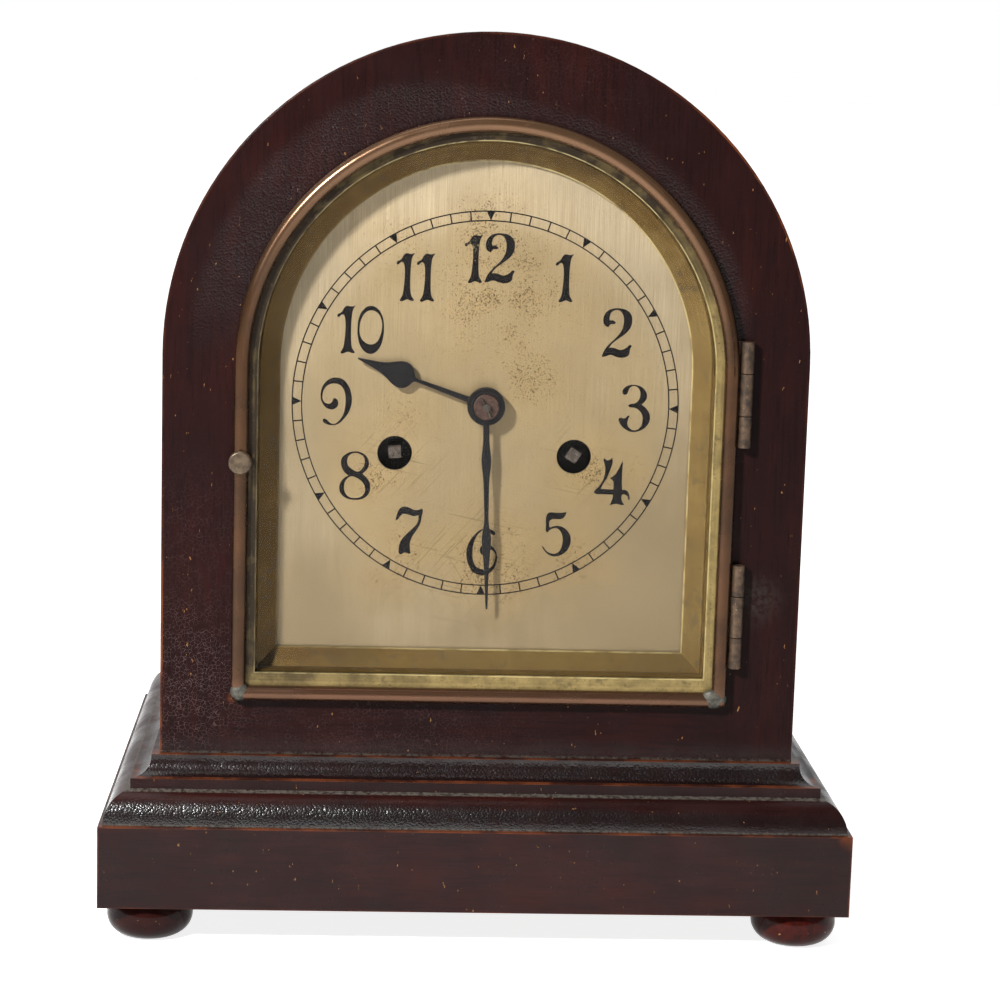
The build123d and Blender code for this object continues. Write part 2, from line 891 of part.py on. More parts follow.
def toothed(teeth, corners, phase):
    # A toothed disc; the corners of one tooth are radii and shares of the pitch from its middle
    pitch = 2 * pi / teeth
    turns = [
        (radius, phase + pitch * (index + share))
        for index in range(teeth)
        for radius, share in corners
    ]
    with BuildSketch() as disc:
        with BuildLine():
            Polyline(*[(radius * cos(turn), radius * sin(turn)) for radius, turn in turns], close=True)
        make_face()
    return disc.sketch


def gear(teeth, module, phase):
    root = module * (teeth / 2 - dedendum_share)
    tip = module * (teeth / 2 + addendum_share)
    sides = (
        (root, -tooth_root_share),
        (tip, -tooth_tip_share),
        (tip, tooth_tip_share),
        (root, tooth_root_share),
    )
    return toothed(teeth, sides, phase)


def wheel(x, height, outline, front, thickness):
    # A disc of the given outline, front to back, about a point of the dial plane
    with BuildSketch(facing(front - thickness)) as disc:
        with Locations((x, height)):
            add(outline)
    extrude(disc.sketch, amount=thickness)


def heading(start, end):
    return atan2(end[1] - start[1], end[0] - start[0])


def meshed(start, end, teeth):
    # The phase that sets a gap of the second wheel against a tooth of the first
    return heading(end, start) + pi / teeth


# Places of the arbors, as seen from the front
third_arm = 21.87
third_bearing = 129.8
escape_arm = 19.44
pin_wheel_arm = 30.13
pin_wheel_bearing = 80.0
anchor_arm = 19.0
motion_arm = 15.0

hub = (0, hub_height)
going_at = (-winder_x, winder_height)
strike_at = (winder_x, winder_height)
third_at = (third_arm * cos(radians(third_bearing)), hub_height + third_arm * sin(radians(third_bearing)))
escape_at = (0, third_at[1] + sqrt(escape_arm**2 - third_at[0] ** 2))
anchor_at = (0, escape_at[1] + anchor_arm)
pin_wheel_at = (
    winder_x + pin_wheel_arm * cos(radians(pin_wheel_bearing)),
    winder_height + pin_wheel_arm * sin(radians(pin_wheel_bearing)),
)
motion_at = (0, hub_height + motion_arm)

# Motion work: cannon pinion, minute wheel with its pinion, and hour wheel
cannon_teeth = 20
minute_teeth = 60
minute_pinion_teeth = 16
hour_teeth = 64
motion_wheel_lift = 1.2
hour_wheel_lift = 5.4
stud_radius = 1.2

motion_module = 2 * motion_arm / (cannon_teeth + minute_teeth)
hour_module = 2 * motion_arm / (minute_pinion_teeth + hour_teeth)
cannon_back = plate_front + motion_wheel_lift
minute_wheel_front = cannon_back + wheel_thickness
hour_wheel_back = plate_front + hour_wheel_lift
hour_wheel_front = hour_wheel_back + wheel_thickness
stud_front = hour_wheel_front + seat_gap * 2

with BuildPart() as cannon_pinion:
    wheel(*hub, gear(cannon_teeth, motion_module, pi / 2), minute_wheel_front, wheel_thickness)
    turned(*hub, cannon_radius, minute_hand_back, minute_wheel_front)
    turned(*hub, cannon_neck_radius, boss_front, minute_hand_back)
    turned(*hub, tip_radius + running_fit, boss_front, cannon_back, Mode.SUBTRACT)
finish(cannon_pinion, "cannon_pinion")

with BuildPart() as minute_wheel:
    wheel(
        *motion_at,
        gear(minute_teeth, motion_module, -pi / 2 + pi / minute_teeth),
        minute_wheel_front,
        wheel_thickness,
    )
    wheel(
        *motion_at,
        gear(minute_pinion_teeth, hour_module, -pi / 2),
        hour_wheel_front + seat_gap,
        hour_wheel_front + seat_gap - minute_wheel_front,
    )
    turned(*motion_at, stud_radius + running_fit, hour_wheel_front + seat_gap, cannon_back, Mode.SUBTRACT)
finish(minute_wheel, "minute_wheel")

with BuildPart() as hour_wheel:
    wheel(*hub, gear(hour_teeth, hour_module, pi / 2 + pi / hour_teeth), hour_wheel_front, wheel_thickness)
    turned(*hub, hour_pipe_radius, hour_hand_back, hour_wheel_front)
    turned(*hub, hour_neck_radius, hour_hand_front, hour_hand_back)
    turned(*hub, cannon_radius + running_fit, hour_hand_front, hour_wheel_back, Mode.SUBTRACT)
finish(hour_wheel, "hour_wheel")


# Movement plates, pinned together by four pillars
plate_corner = 4.0
pillar_x = 49.0
pillar_margin = 6.0
pillar_radius = 3.2
pillar_stub_radius = 1.6
nut_radius = 3.4
nut_thickness = 2.4
arbor_radius = 1.05
centre_radius = 1.5
rear_arbor_radius = 1.2
winder_pivot_radius = 1.6
click_stud_radius = 1.3
click_x = 8.0
click_lift = 14.0
click_thickness = 1.6
click_plate_gap = 0.6
hammer_x = 50.0
hammer_rise = 22.0

winder_radius = square_side / sqrt(2)
hammer_at = (hammer_x, hub_height + hammer_rise)
winders = (going_at, strike_at)
clicks = [(x + click_x, height + click_lift) for x, height in winders]
pillar_places = [
    (side * pillar_x, height)
    for side in (-1, 1)
    for height in (plate_bottom + pillar_margin, plate_top - pillar_margin)
]
small_pivots = (third_at, escape_at, pin_wheel_at)
click_front = plate_front + click_plate_gap + click_thickness


def movement_plate(back, holes):
    # A plate with a hole for each place and radius
    with BuildSketch(facing(back)) as blank:
        with Locations((0, (plate_bottom + plate_top) / 2)):
            RectangleRounded(plate_width, plate_height, plate_corner)
        for place, radius in holes:
            with Locations(place):
                Circle(radius, mode=Mode.SUBTRACT)
    extrude(blank.sketch, amount=plate_thickness)


pillar_holes = [(place, pillar_stub_radius) for place in pillar_places]
pivot_holes = [(place, pivot_radius + running_fit) for place in small_pivots]

with BuildPart() as front_plate:
    movement_plate(
        plate_back,
        pillar_holes
        + pivot_holes
        + [(place, pivot_radius + running_fit) for place in (anchor_at, hammer_at)]
        + [(place, winder_radius + running_fit) for place in winders]
        + [(place, dial_foot_tail_radius) for place in dial_foot_places]
        + [(hub, tip_radius + running_fit)],
    )
    turned(*motion_at, stud_radius, stud_front, plate_front)
    for place in clicks:
        turned(*place, click_stud_radius, click_front + seat_gap, plate_front)
finish(front_plate, "front_plate")

with BuildPart() as back_plate:
    movement_plate(
        rear_plate_back,
        pillar_holes
        + pivot_holes
        + [(place, rear_arbor_radius + running_fit) for place in (anchor_at, hammer_at)]
        + [(place, winder_pivot_radius + running_fit) for place in winders]
        + [(hub, pivot_radius + running_fit)],
    )
finish(back_plate, "back_plate")

with BuildPart() as plate_pillars:
    for place in pillar_places:
        turned(*place, pillar_radius, plate_back, rear_plate_front)
        turned(*place, pillar_stub_radius, plate_front + nut_thickness, rear_plate_back)
finish(plate_pillars, "plate_pillars")

with BuildPart() as pillar_nuts:
    for place in pillar_places:
        with BuildSketch(facing(plate_front)):
            with Locations(place):
                RegularPolygon(nut_radius, 6)
                Circle(pillar_stub_radius, mode=Mode.SUBTRACT)
        extrude(amount=nut_thickness)
finish(pillar_nuts, "pillar_nuts")

# Oak board that the movement stands on, let into the sides of the case
seat_thickness = 10.0
seat_front = 55.0
seat_back = 8.0

with BuildPart() as seat_board:
    block(-shell_inner, shell_inner, seat_front, seat_back, plate_bottom - seat_thickness, plate_bottom)
finish(seat_board, "seat_board")

# The going train, from the hub to the escape wheel
crossing_ring_share = 0.58
crossing_hole_share = 0.23
crossing_count = 5
pinion_leaves = 8
centre_teeth = 96
third_teeth = 100
great_teeth = 96
escape_teeth = 32
escape_radius = 14.0
escape_tooth_depth = 2.2
centre_wheel_back = 42.2
centre_pinion_back = 16.2
third_pinion_back = 41.5
third_wheel_back = 14.7
escape_pinion_back = 14.0
escape_wheel_back = 23.0

centre_module = 2 * third_arm / (centre_teeth + pinion_leaves)
third_module = 2 * escape_arm / (third_teeth + pinion_leaves)
great_arm = hypot(winder_x, hub_height - winder_height)
great_module = 2 * great_arm / (great_teeth + pinion_leaves)


def arbor(x, height, rear_radius=pivot_radius, rear_end=rear_plate_back - pivot_reach):
    # A shaft between the plates with a pivot in each
    turned(x, height, arbor_radius, plate_back - seat_gap, rear_plate_front + seat_gap)
    turned(x, height, pivot_radius, plate_front + pivot_reach, plate_back - seat_gap)
    turned(x, height, rear_radius, rear_plate_front + seat_gap, rear_end)


def crossed(x, height, outline, radius, back, thickness):
    # A train wheel lightened by round openings
    wheel(x, height, outline, back + thickness, thickness)
    with BuildSketch(facing(back)) as holes:
        with Locations((x, height)):
            with PolarLocations(radius * crossing_ring_share, crossing_count):
                Circle(radius * crossing_hole_share)
    extrude(holes.sketch, amount=thickness, mode=Mode.SUBTRACT)


def pinion(x, height, module, phase, back):
    wheel(x, height, gear(pinion_leaves, module, phase), back + pinion_length, pinion_length)


train_thickness = 1.2

with BuildPart() as centre_arbor:
    turned(*hub, centre_radius, plate_back - seat_gap, rear_plate_front + seat_gap)
    turned(*hub, tip_radius, arbor_tip, plate_back - seat_gap)
    turned(*hub, pivot_radius, rear_plate_front + seat_gap, rear_plate_back - pivot_reach)
    crossed(
        *hub,
        gear(centre_teeth, centre_module, heading(hub, third_at)),
        centre_teeth * centre_module / 2,
        centre_wheel_back,
        train_thickness,
    )
    pinion(*hub, great_module, meshed(going_at, hub, pinion_leaves), centre_pinion_back)
    rod(pin_start, pin_axis, pin_thick_radius, pin_length, Mode.SUBTRACT)
finish(centre_arbor, "centre_arbor")

with BuildPart() as third_wheel:
    arbor(*third_at)
    pinion(*third_at, centre_module, meshed(hub, third_at, pinion_leaves), third_pinion_back)
    crossed(
        *third_at,
        gear(third_teeth, third_module, heading(third_at, escape_at)),
        third_teeth * third_module / 2,
        third_wheel_back,
        train_thickness,
    )
finish(third_wheel, "third_wheel")

escape_valley_share = -0.5
escape_tip_share = 0.22
escape_face_share = 0.3
escape_foot_share = 0.34
escape_sides = (
    (escape_radius - escape_tooth_depth, escape_valley_share),
    (escape_radius, escape_tip_share),
    (escape_radius, escape_face_share),
    (escape_radius - escape_tooth_depth, escape_foot_share),
)

with BuildPart() as escape_wheel:
    arbor(*escape_at)
    pinion(*escape_at, third_module, meshed(third_at, escape_at, pinion_leaves), escape_pinion_back)
    crossed(
        *escape_at,
        toothed(escape_teeth, escape_sides, pi / 2),
        escape_radius - escape_tooth_depth,
        escape_wheel_back,
        train_thickness,
    )
finish(escape_wheel, "escape_wheel")

# Anchor with its crutch, which reaches back to the pendulum rod
anchor_outline_shares = (
    (0.143, 0.157),
    (0.971, -0.457),
    (0.9, -0.686),
    (0.79, -0.645),
    (0.757, -0.471),
    (0.0, -0.157),
)
crutch_length = 27.0
crutch_width = 3.0
crutch_thickness = 1.2
crutch_front = 8.2
crutch_pin_radius = 0.9
crutch_eye_radius = 2.8
pendulum_front = 1.2
pendulum_strip_width = 4.4
crutch_reach = 1.6

crutch_back = crutch_front - crutch_thickness
crutch_height = anchor_at[1] - crutch_length

with BuildPart() as anchor:
    arbor(*anchor_at, rear_arbor_radius, crutch_back)
    half = [(escape_radius * x, anchor_at[1] + escape_radius * y) for x, y in anchor_outline_shares]
    with BuildSketch(facing(escape_wheel_back)):
        with BuildLine():
            Polyline(*half, *[(-x, y) for x, y in reversed(half[:-1])], close=True)
        make_face()
    extrude(amount=train_thickness)
    block(
        -crutch_width / 2,
        crutch_width / 2,
        crutch_front,
        crutch_back,
        crutch_height - crutch_width / 2,
        anchor_at[1] + crutch_width / 2,
    )
    turned(0, crutch_height, crutch_pin_radius, crutch_back, -pendulum_front - crutch_reach)
finish(anchor, "anchor")

# Cock on the back plate, with the pin that the pendulum hangs on
cock_foot_half = 11.0
cock_arm_half = 4.0
cock_thickness = 4.0
cock_foot_depth = 2.0
cock_leg_front = 6.0
cock_leg_depth = 3.0
cock_leg_half = 3.0
cock_leg_drop = 4.0
cock_pin_radius = 0.9

with BuildPart() as pendulum_cock:
    block(
        -cock_foot_half,
        cock_foot_half,
        rear_plate_back,
        rear_plate_back - cock_foot_depth,
        plate_top - cock_thickness,
        plate_top,
    )
    block(
        -cock_arm_half,
        cock_arm_half,
        rear_plate_back,
        -cock_leg_front,
        plate_top - cock_thickness,
        plate_top,
    )
    for front in (cock_leg_front, cock_leg_depth - cock_leg_front):
        block(
            -cock_leg_half,
            cock_leg_half,
            front,
            front - cock_leg_depth,
            anchor_at[1] - cock_leg_drop,
            plate_top,
        )
    turned(*anchor_at, cock_pin_radius, cock_leg_front, -cock_leg_front)
finish(pendulum_cock, "pendulum_cock")

# Pendulum: flat rod with an eye at the top and for the crutch, lens bob and rating nut
pendulum_eye_radius = 3.0
pendulum_tail = 24.0
pendulum_clearance = 7.5
rating_nut_radius = 3.4
rating_nut_height = 2.6
bob_radius = 19.0
bob_half_depth = 6.0
bob_rim_half = 2.2

bob_height = plinth_top + pendulum_clearance + pendulum_tail

with BuildPart() as pendulum_rod:
    for height, radius in ((anchor_at[1], pendulum_eye_radius), (crutch_height, crutch_eye_radius)):
        turned(0, height, radius, pendulum_front, -pendulum_front)
    block(
        -pendulum_strip_width / 2,
        pendulum_strip_width / 2,
        pendulum_front,
        -pendulum_front,
        bob_height - pendulum_tail,
        anchor_at[1],
    )
    turned(*anchor_at, cock_pin_radius + running_fit, pendulum_front, -pendulum_front, Mode.SUBTRACT)
    turned(0, crutch_height, crutch_pin_radius, pendulum_front, -pendulum_front, Mode.SUBTRACT)
    rod(
        (0, 0, bob_height - bob_radius - rating_nut_height),
        (0, 0, 1),
        rating_nut_radius,
        rating_nut_height,
    )
finish(pendulum_rod, "pendulum_rod")

with BuildPart() as pendulum_bob:
    turned(0, bob_height, bob_radius, bob_half_depth, -bob_half_depth)
    fillet(pendulum_bob.edges().filter_by(GeomType.CIRCLE), bob_half_depth - bob_rim_half)
    block(
        -pendulum_strip_width / 2,
        pendulum_strip_width / 2,
        pendulum_front,
        -pendulum_front,
        bob_height - bob_radius - overrun,
        bob_height + bob_radius + overrun,
        Mode.SUBTRACT,
    )
finish(pendulum_bob, "pendulum_bob")

# Spring barrels with their great wheels
strike_great_teeth = 84
barrel_radius = 24.0
barrel_depth = 22.0
great_thickness = 1.8
going_barrel_back = 18.5
strike_barrel_back = 17.6

strike_module = 2 * pin_wheel_arm / (strike_great_teeth + pinion_leaves)


def barrel(place, outline, drum_back, wheel_back):
    turned(*place, barrel_radius, drum_back + barrel_depth, drum_back)
    wheel(*place, outline, wheel_back + great_thickness, great_thickness)
    turned(*place, winder_radius + running_fit, plate_back, rear_plate_front, Mode.SUBTRACT)


with BuildPart() as going_barrel:
    barrel(
        going_at,
        gear(great_teeth, great_module, heading(going_at, hub)),
        going_barrel_back,
        going_barrel_back - great_thickness,
    )
finish(going_barrel, "going_barrel")

with BuildPart() as strike_barrel:
    barrel(
        strike_at,
        gear(strike_great_teeth, strike_module, heading(strike_at, pin_wheel_at)),
        strike_barrel_back,
        strike_barrel_back + barrel_depth,
    )
finish(strike_barrel, "strike_barrel")

# Winding arbors: squares for the key, ratchet wheels against the front plate, and clicks
ratchet_teeth = 24
ratchet_radius = 9.5
ratchet_tooth_depth = 1.2
ratchet_thickness = 1.8
ratchet_valley_share = 0.42
ratchet_tip_share = 0.5
winder_inset = 2.6
winder_turns = (5.0, -32.0)
click_radius = 2.6
click_arm_half = 1.6
click_nose_x = 0.25
click_nose_lift = 0.35

ratchet_root = ratchet_radius - ratchet_tooth_depth
ratchet_back = plate_front + click_plate_gap
ratchet_front = ratchet_back + ratchet_thickness
winder_front = dial_front - winder_inset
ratchet_phase = pi / 2 - ratchet_valley_share * 2 * pi / ratchet_teeth
ratchet_sides = ((ratchet_radius, -ratchet_tip_share), (ratchet_root, ratchet_valley_share))

for place, turn, label in zip(winders, winder_turns, ("going", "strike")):
    with BuildPart() as winder:
        turned(*place, winder_radius, ratchet_front, rear_plate_front + seat_gap)
        turned(*place, winder_pivot_radius, rear_plate_front + seat_gap, rear_plate_back - pivot_reach)
        wheel(*place, toothed(ratchet_teeth, ratchet_sides, ratchet_phase), ratchet_front, ratchet_thickness)
        with BuildSketch(facing(ratchet_front)):
            with Locations(Location((*place, 0), (0, 0, turn))):
                Rectangle(square_side, square_side)
        extrude(amount=winder_front - ratchet_front)
    finish(winder, label + "_winder")

for place, pivot, label in zip(winders, clicks, ("going", "strike")):
    nose = (place[0] + click_nose_x, place[1] + ratchet_root + click_nose_lift)
    lean = heading(nose, pivot)
    side = (click_arm_half * sin(lean), -click_arm_half * cos(lean))
    with BuildPart() as click:
        with BuildSketch(facing(ratchet_back)):
            with BuildLine():
                Polyline(
                    nose,
                    (pivot[0] + side[0], pivot[1] + side[1]),
                    (pivot[0] - side[0], pivot[1] - side[1]),
                    close=True,
                )
            make_face()
            with Locations(pivot):
                Circle(click_radius)
                Circle(click_stud_radius + running_fit, mode=Mode.SUBTRACT)
        extrude(amount=click_thickness)
    finish(click, label + "_click")

# Striking: pin wheel, hammer and the coiled gong on its iron post
pin_wheel_radius = 14.0
pin_wheel_back = 15.6
pin_ring_radius = 11.0
pin_count = 8
lift_pin_radius = 0.7
lift_pin_length = 2.2
hammer_back = -18.0
hammer_tail_half = 1.2
hammer_arm_radius = 0.9
hammer_arbor_tail = 2.0
hammer_head_radius = 4.0
hammer_head_length = 9.0
hammer_head_gap = 1.5
hammer_head_rise = 6.0
gong_clearance = 15.8
gong_inner_radius = 14.0
gong_pitch = 8.0
gong_half_turns = 9
gong_wire_radius = 1.4
gong_samples = 36
gong_end_drop = 20.0
gong_end_hold = 6.0
post_half = 5.0
post_foot_half = 9.0
post_foot_height = 4.0

strike_pinion_back = strike_barrel_back + barrel_depth + (great_thickness - pinion_length) / 2
pin_back = pin_wheel_back - lift_pin_length

with BuildPart() as pin_wheel:
    arbor(*pin_wheel_at)
    pinion(
        *pin_wheel_at,
        strike_module,
        meshed(strike_at, pin_wheel_at, pinion_leaves),
        strike_pinion_back,
    )
    with BuildSketch(facing(pin_wheel_back)) as rim_disc:
        with Locations(pin_wheel_at):
            Circle(pin_wheel_radius)
    extrude(rim_disc.sketch, amount=train_thickness)
    with BuildSketch(facing(pin_back)) as lift_pins:
        with Locations(pin_wheel_at):
            with PolarLocations(pin_ring_radius, pin_count):
                Circle(lift_pin_radius)
    extrude(lift_pins.sketch, amount=lift_pin_length)
finish(pin_wheel, "pin_wheel")

gong_outer_radius = gong_inner_radius + (gong_half_turns - 1) * gong_pitch / 2
gong_height = plinth_top + gong_clearance + gong_wire_radius + gong_outer_radius - gong_pitch / 2
hammer_head_height = gong_height + hammer_head_rise
head_left = gong_outer_radius + gong_wire_radius + hammer_head_gap
head_x = head_left + hammer_head_length / 2
tail_reach = hypot(hammer_at[0] - pin_wheel_at[0], hammer_at[1] - pin_wheel_at[1]) - (
    pin_ring_radius + lift_pin_radius + seat_gap
)
tail_turn = heading(hammer_at, pin_wheel_at)

with BuildPart() as hammer:
    arbor(*hammer_at, rear_arbor_radius, hammer_back - hammer_arbor_tail)
    with BuildSketch(facing(rear_plate_front + seat_gap * 2)):
        with Locations(Location((*hammer_at, 0), (0, 0, degrees(tail_turn)))):
            with Locations((tail_reach / 2, 0)):
                Rectangle(tail_reach, 2 * hammer_tail_half)
    extrude(amount=train_thickness)
    arm = (head_x - hammer_at[0], 0, hammer_head_height - hammer_at[1])
    rod((hammer_at[0], -hammer_back, hammer_at[1]), arm, hammer_arm_radius, hypot(arm[0], arm[2]))
    rod((head_left, -hammer_back, hammer_head_height), (1, 0, 0), hammer_head_radius, hammer_head_length)
finish(hammer, "hammer")

gong_plane = facing(hammer_back)

with BuildPart() as gong_coil:
    with BuildLine(gong_plane):
        arcs = []
        for index in range(gong_half_turns):
            radius = gong_inner_radius + index * gong_pitch / 2
            below = index % 2
            arcs.append(
                CenterArc((-below * gong_pitch / 2, gong_height), radius, 0 if below else 180, -180)
            )
        end = (gong_outer_radius, gong_height)
        Line(end, (end[0], end[1] - gong_end_drop))
    with BuildSketch(Plane(origin=(-gong_inner_radius, -hammer_back, gong_height), z_dir=(0, 0, 1))):
        Circle(gong_wire_radius)
    sweep()
spots = [[arc @ (step / gong_samples) for step in range(gong_samples + 1)] for arc in arcs]
gong_gap = min(
    (near - far).length
    for index in range(gong_half_turns - 2)
    for near in spots[index]
    for far in spots[index + 2]
)
print("least gap between turns of the gong", round(gong_gap - 2 * gong_wire_radius, 2), "mm")
finish(gong_coil, "gong_coil")

with BuildPart() as gong_post:
    block(
        gong_outer_radius - post_foot_half,
        gong_outer_radius + post_foot_half,
        hammer_back + post_foot_half,
        hammer_back - post_foot_half,
        plinth_top,
        plinth_top + post_foot_height,
    )
    block(
        gong_outer_radius - post_half,
        gong_outer_radius + post_half,
        hammer_back + post_half,
        hammer_back - post_half,
        plinth_top,
        gong_height - gong_end_drop + gong_end_hold,
    )
    rod(
        (gong_outer_radius, -hammer_back, gong_height - gong_end_drop),
        (0, 0, 1),
        gong_wire_radius,
        gong_end_hold,
        Mode.SUBTRACT,
    )
finish(gong_post, "gong_post")
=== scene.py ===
from math import cos, pi, radians, sin

import bmesh
import bpy
from mathutils import Matrix, Vector


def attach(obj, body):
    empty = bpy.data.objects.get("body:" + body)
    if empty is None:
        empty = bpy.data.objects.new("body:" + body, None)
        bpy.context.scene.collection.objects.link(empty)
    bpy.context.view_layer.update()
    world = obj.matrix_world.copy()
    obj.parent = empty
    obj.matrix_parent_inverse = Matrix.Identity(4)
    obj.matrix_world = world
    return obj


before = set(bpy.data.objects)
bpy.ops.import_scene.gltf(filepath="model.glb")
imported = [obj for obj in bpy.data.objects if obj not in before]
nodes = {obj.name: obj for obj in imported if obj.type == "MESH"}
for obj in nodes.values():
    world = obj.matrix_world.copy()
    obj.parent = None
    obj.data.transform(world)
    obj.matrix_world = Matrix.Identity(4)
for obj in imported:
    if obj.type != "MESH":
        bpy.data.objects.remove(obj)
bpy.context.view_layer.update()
mm = 0.001
print("frame loaded,", len(nodes), "nodes")


# Camera, as the photograph was taken: a long lens, a little left of and above the clock
photoCamera = {
    "place": (-36.5, -881.2, 281.0),  # mm
    "tilt": -9.63,  # degrees, below the horizon
    "turn": -2.92,
    "roll": 1.65,
    "lens": 93.6,
    "sensor": 36.0,
}


def placeCamera(settings):
    lens = bpy.data.cameras.new("photoCamera")
    lens.lens = settings["lens"]
    lens.sensor_width = settings["sensor"]
    lens.clip_start = 0.01
    camera = bpy.data.objects.new("photoCamera", lens)
    turned = Matrix.Rotation(radians(settings["turn"]), 4, "Z")
    tilted = Matrix.Rotation(radians(90 + settings["tilt"]), 4, "X")
    rolled = Matrix.Rotation(radians(settings["roll"]), 4, "Z")
    camera.matrix_world = Matrix.Translation(Vector(settings["place"]) * mm) @ turned @ tilted @ rolled
    bpy.context.collection.objects.link(camera)
    bpy.context.scene.camera = camera


placeCamera(photoCamera)
bpy.context.scene.view_settings.view_transform = "Standard"


# Node helpers
smooth = {"interpolation_type": "SMOOTHSTEP"}  # for a Map Range that eases in and out
blend = {"data_type": "RGBA"}  # for a Mix of colours
times, plus, minus, most = ({"operation": name} for name in ("MULTIPLY", "ADD", "SUBTRACT", "MAXIMUM"))


def linear(hexColour):
    channels = [int(hexColour[i : i + 2], 16) / 255 for i in (1, 3, 5)]
    return [c / 12.92 if c <= 0.04045 else ((c + 0.055) / 1.055) ** 2.4 for c in channels] + [1.0]


def feed(tree, socket, value):
    # A socket takes a number, a hex colour, an output, or a node for the first of its outputs in use
    if isinstance(value, bpy.types.Node):
        value = next(output for output in value.outputs if output.enabled)
    if isinstance(value, bpy.types.NodeSocket):
        tree.links.new(value, socket)
    else:
        socket.default_value = linear(value) if isinstance(value, str) else value


def dress(tree, node, **sockets):
    for name, value in sockets.items():
        feed(tree, node.inputs[name.replace("_", " ")], value)


def addNode(tree, kind, *values, **settings):
    # The values go into the node's inputs in order; a setting with a capital letter names an input
    node = tree.nodes.new("ShaderNode" + kind)
    for name in [name for name in settings if name.islower()]:
        setattr(node, name, settings.pop(name))
    for socket, value in zip([socket for socket in node.inputs if socket.enabled], values):
        feed(tree, socket, value)
    dress(tree, node, **settings)
    return node


def startFinish(name, **sockets):
    finish = bpy.data.materials.new(name)
    finish.use_nodes = True
    tree = finish.node_tree
    shader = tree.nodes["Principled BSDF"]
    dress(tree, shader, **sockets)
    return finish, tree, shader, addNode(tree, "TexCoord").outputs["Object"]


def grit(tree, place, size, detail=2.0, roughness=0.5, stretch=(1, 1, 1), shift=0.0):
    # Noise whose blotches are about size mm across, drawn out along the stretched axes
    start = (shift, shift * 0.7, shift * 1.3)
    moved = addNode(tree, "Mapping", place, Location=start, Scale=[1 / s for s in stretch])
    return addNode(tree, "TexNoise", moved, Scale=1 / (size * mm), Detail=detail, Roughness=roughness)


def streaks(tree, place, size, along, draw, detail=3.0, shift=0.0, roughness=0.6):
    # The same drawn out along one axis, as the grain of a board
    return grit(tree, place, size, detail, roughness, [draw if axis == along else 1 for axis in "XYZ"], shift)


def flecks(tree, place, size, amount, soft=0.03, stretch=(1, 1, 1), shift=0.0, detail=3.0, strength=1.0):
    # Spots where the noise is over a limit; a larger amount gives more of them
    noise = grit(tree, place, size, detail, roughness=0.6, stretch=stretch, shift=shift)
    low = addNode(tree, "Math", 0.75, amount, **minus)
    high = addNode(tree, "Math", 0.75 + soft, amount, **minus)
    return addNode(tree, "MapRange", noise, low, high, 0.0, strength, **smooth)


def broken(tree, mask, place, size, low, high, least, detail=3.0, roughness=0.6, shift=0.0):
    # A mask broken up by noise of this size, where it falls to its least share
    noise = grit(tree, place, size, detail, roughness, shift=shift)
    share = addNode(tree, "MapRange", noise, low, high, least, 1.0, **smooth)
    return addNode(tree, "Math", mask, share, **times)


def strongest(tree, masks):
    strong = masks[0]
    for mask in masks[1:]:
        strong = addNode(tree, "Math", strong, mask, **most)
    return strong


def near(tree, place, centre, reach, strength=1.0):
    # Its full strength at a point of the clock, in mm, and nothing beyond its reach
    away = addNode(tree, "VectorMath", place, [c * mm for c in centre], operation="DISTANCE")
    return addNode(tree, "MapRange", away, reach * mm, 0.0, 0.0, strength, **smooth)


def atHeight(tree, height, middle, half, soft, strength=1.0):
    # Its full strength in a level band about a height, in mm
    off = addNode(tree, "Math", addNode(tree, "Math", height, middle * mm, **minus), operation="ABSOLUTE")
    return addNode(tree, "MapRange", off, (half + soft) * mm, half * mm, 0.0, strength, **smooth)


def archDistance(tree, place, spring):
    # Distance from the middle line of an arch that springs from this height
    x, _, z = addNode(tree, "SeparateXYZ", place).outputs
    rise = addNode(tree, "Math", addNode(tree, "Math", z, spring * mm, **minus), 0.0, **most)
    squares = [addNode(tree, "Math", length, length, **times) for length in (x, rise)]
    return addNode(tree, "Math", addNode(tree, "Math", *squares, **plus), operation="SQRT")


# Places on the case that the finishes follow, in mm: half widths, heights and depths
caseSizes = {
    "bodyHalf": 102.0,
    "bodyFoot": 58.8,
    "front": -69.0,
    "archSpring": 187.2,
    "doorHalf": 79.4,
    "doorFoot": 77.0,
    "doorSpring": 183.9,
    "capTop": 58.8,
    "filletTop": 52.4,
    "quirk": 48.9,
    "fasciaTop": 39.0,
    "plinthHalf": 120.0,
    "plinthDepth": 87.0,  # from the middle
    "plinthFoot": 12.4,
}

# French-polished mahogany, stained nearly black-red; old shellac that has crazed like leather,
# with orange bare wood where its edges have rubbed through
caseWood = {
    "deep": "#1a0c0c",
    "warm": "#2b110e",
    "grain": "#0a0505",
    "lively": "#4a1f18",
    "bare": "#7a3f20",
    "fleck": "#a5774a",
    "dust": "#5f5b53",
    "craze": "#6a5654",
    "pores": 0.55,  # mm across; real pores are finer and wouldn't show
    "figure": 4.5,
    "railPores": 0.7,
    "railFigure": 3.0,
    "wrinkle": 0.74,
    "crazeCell": 1.3,
}


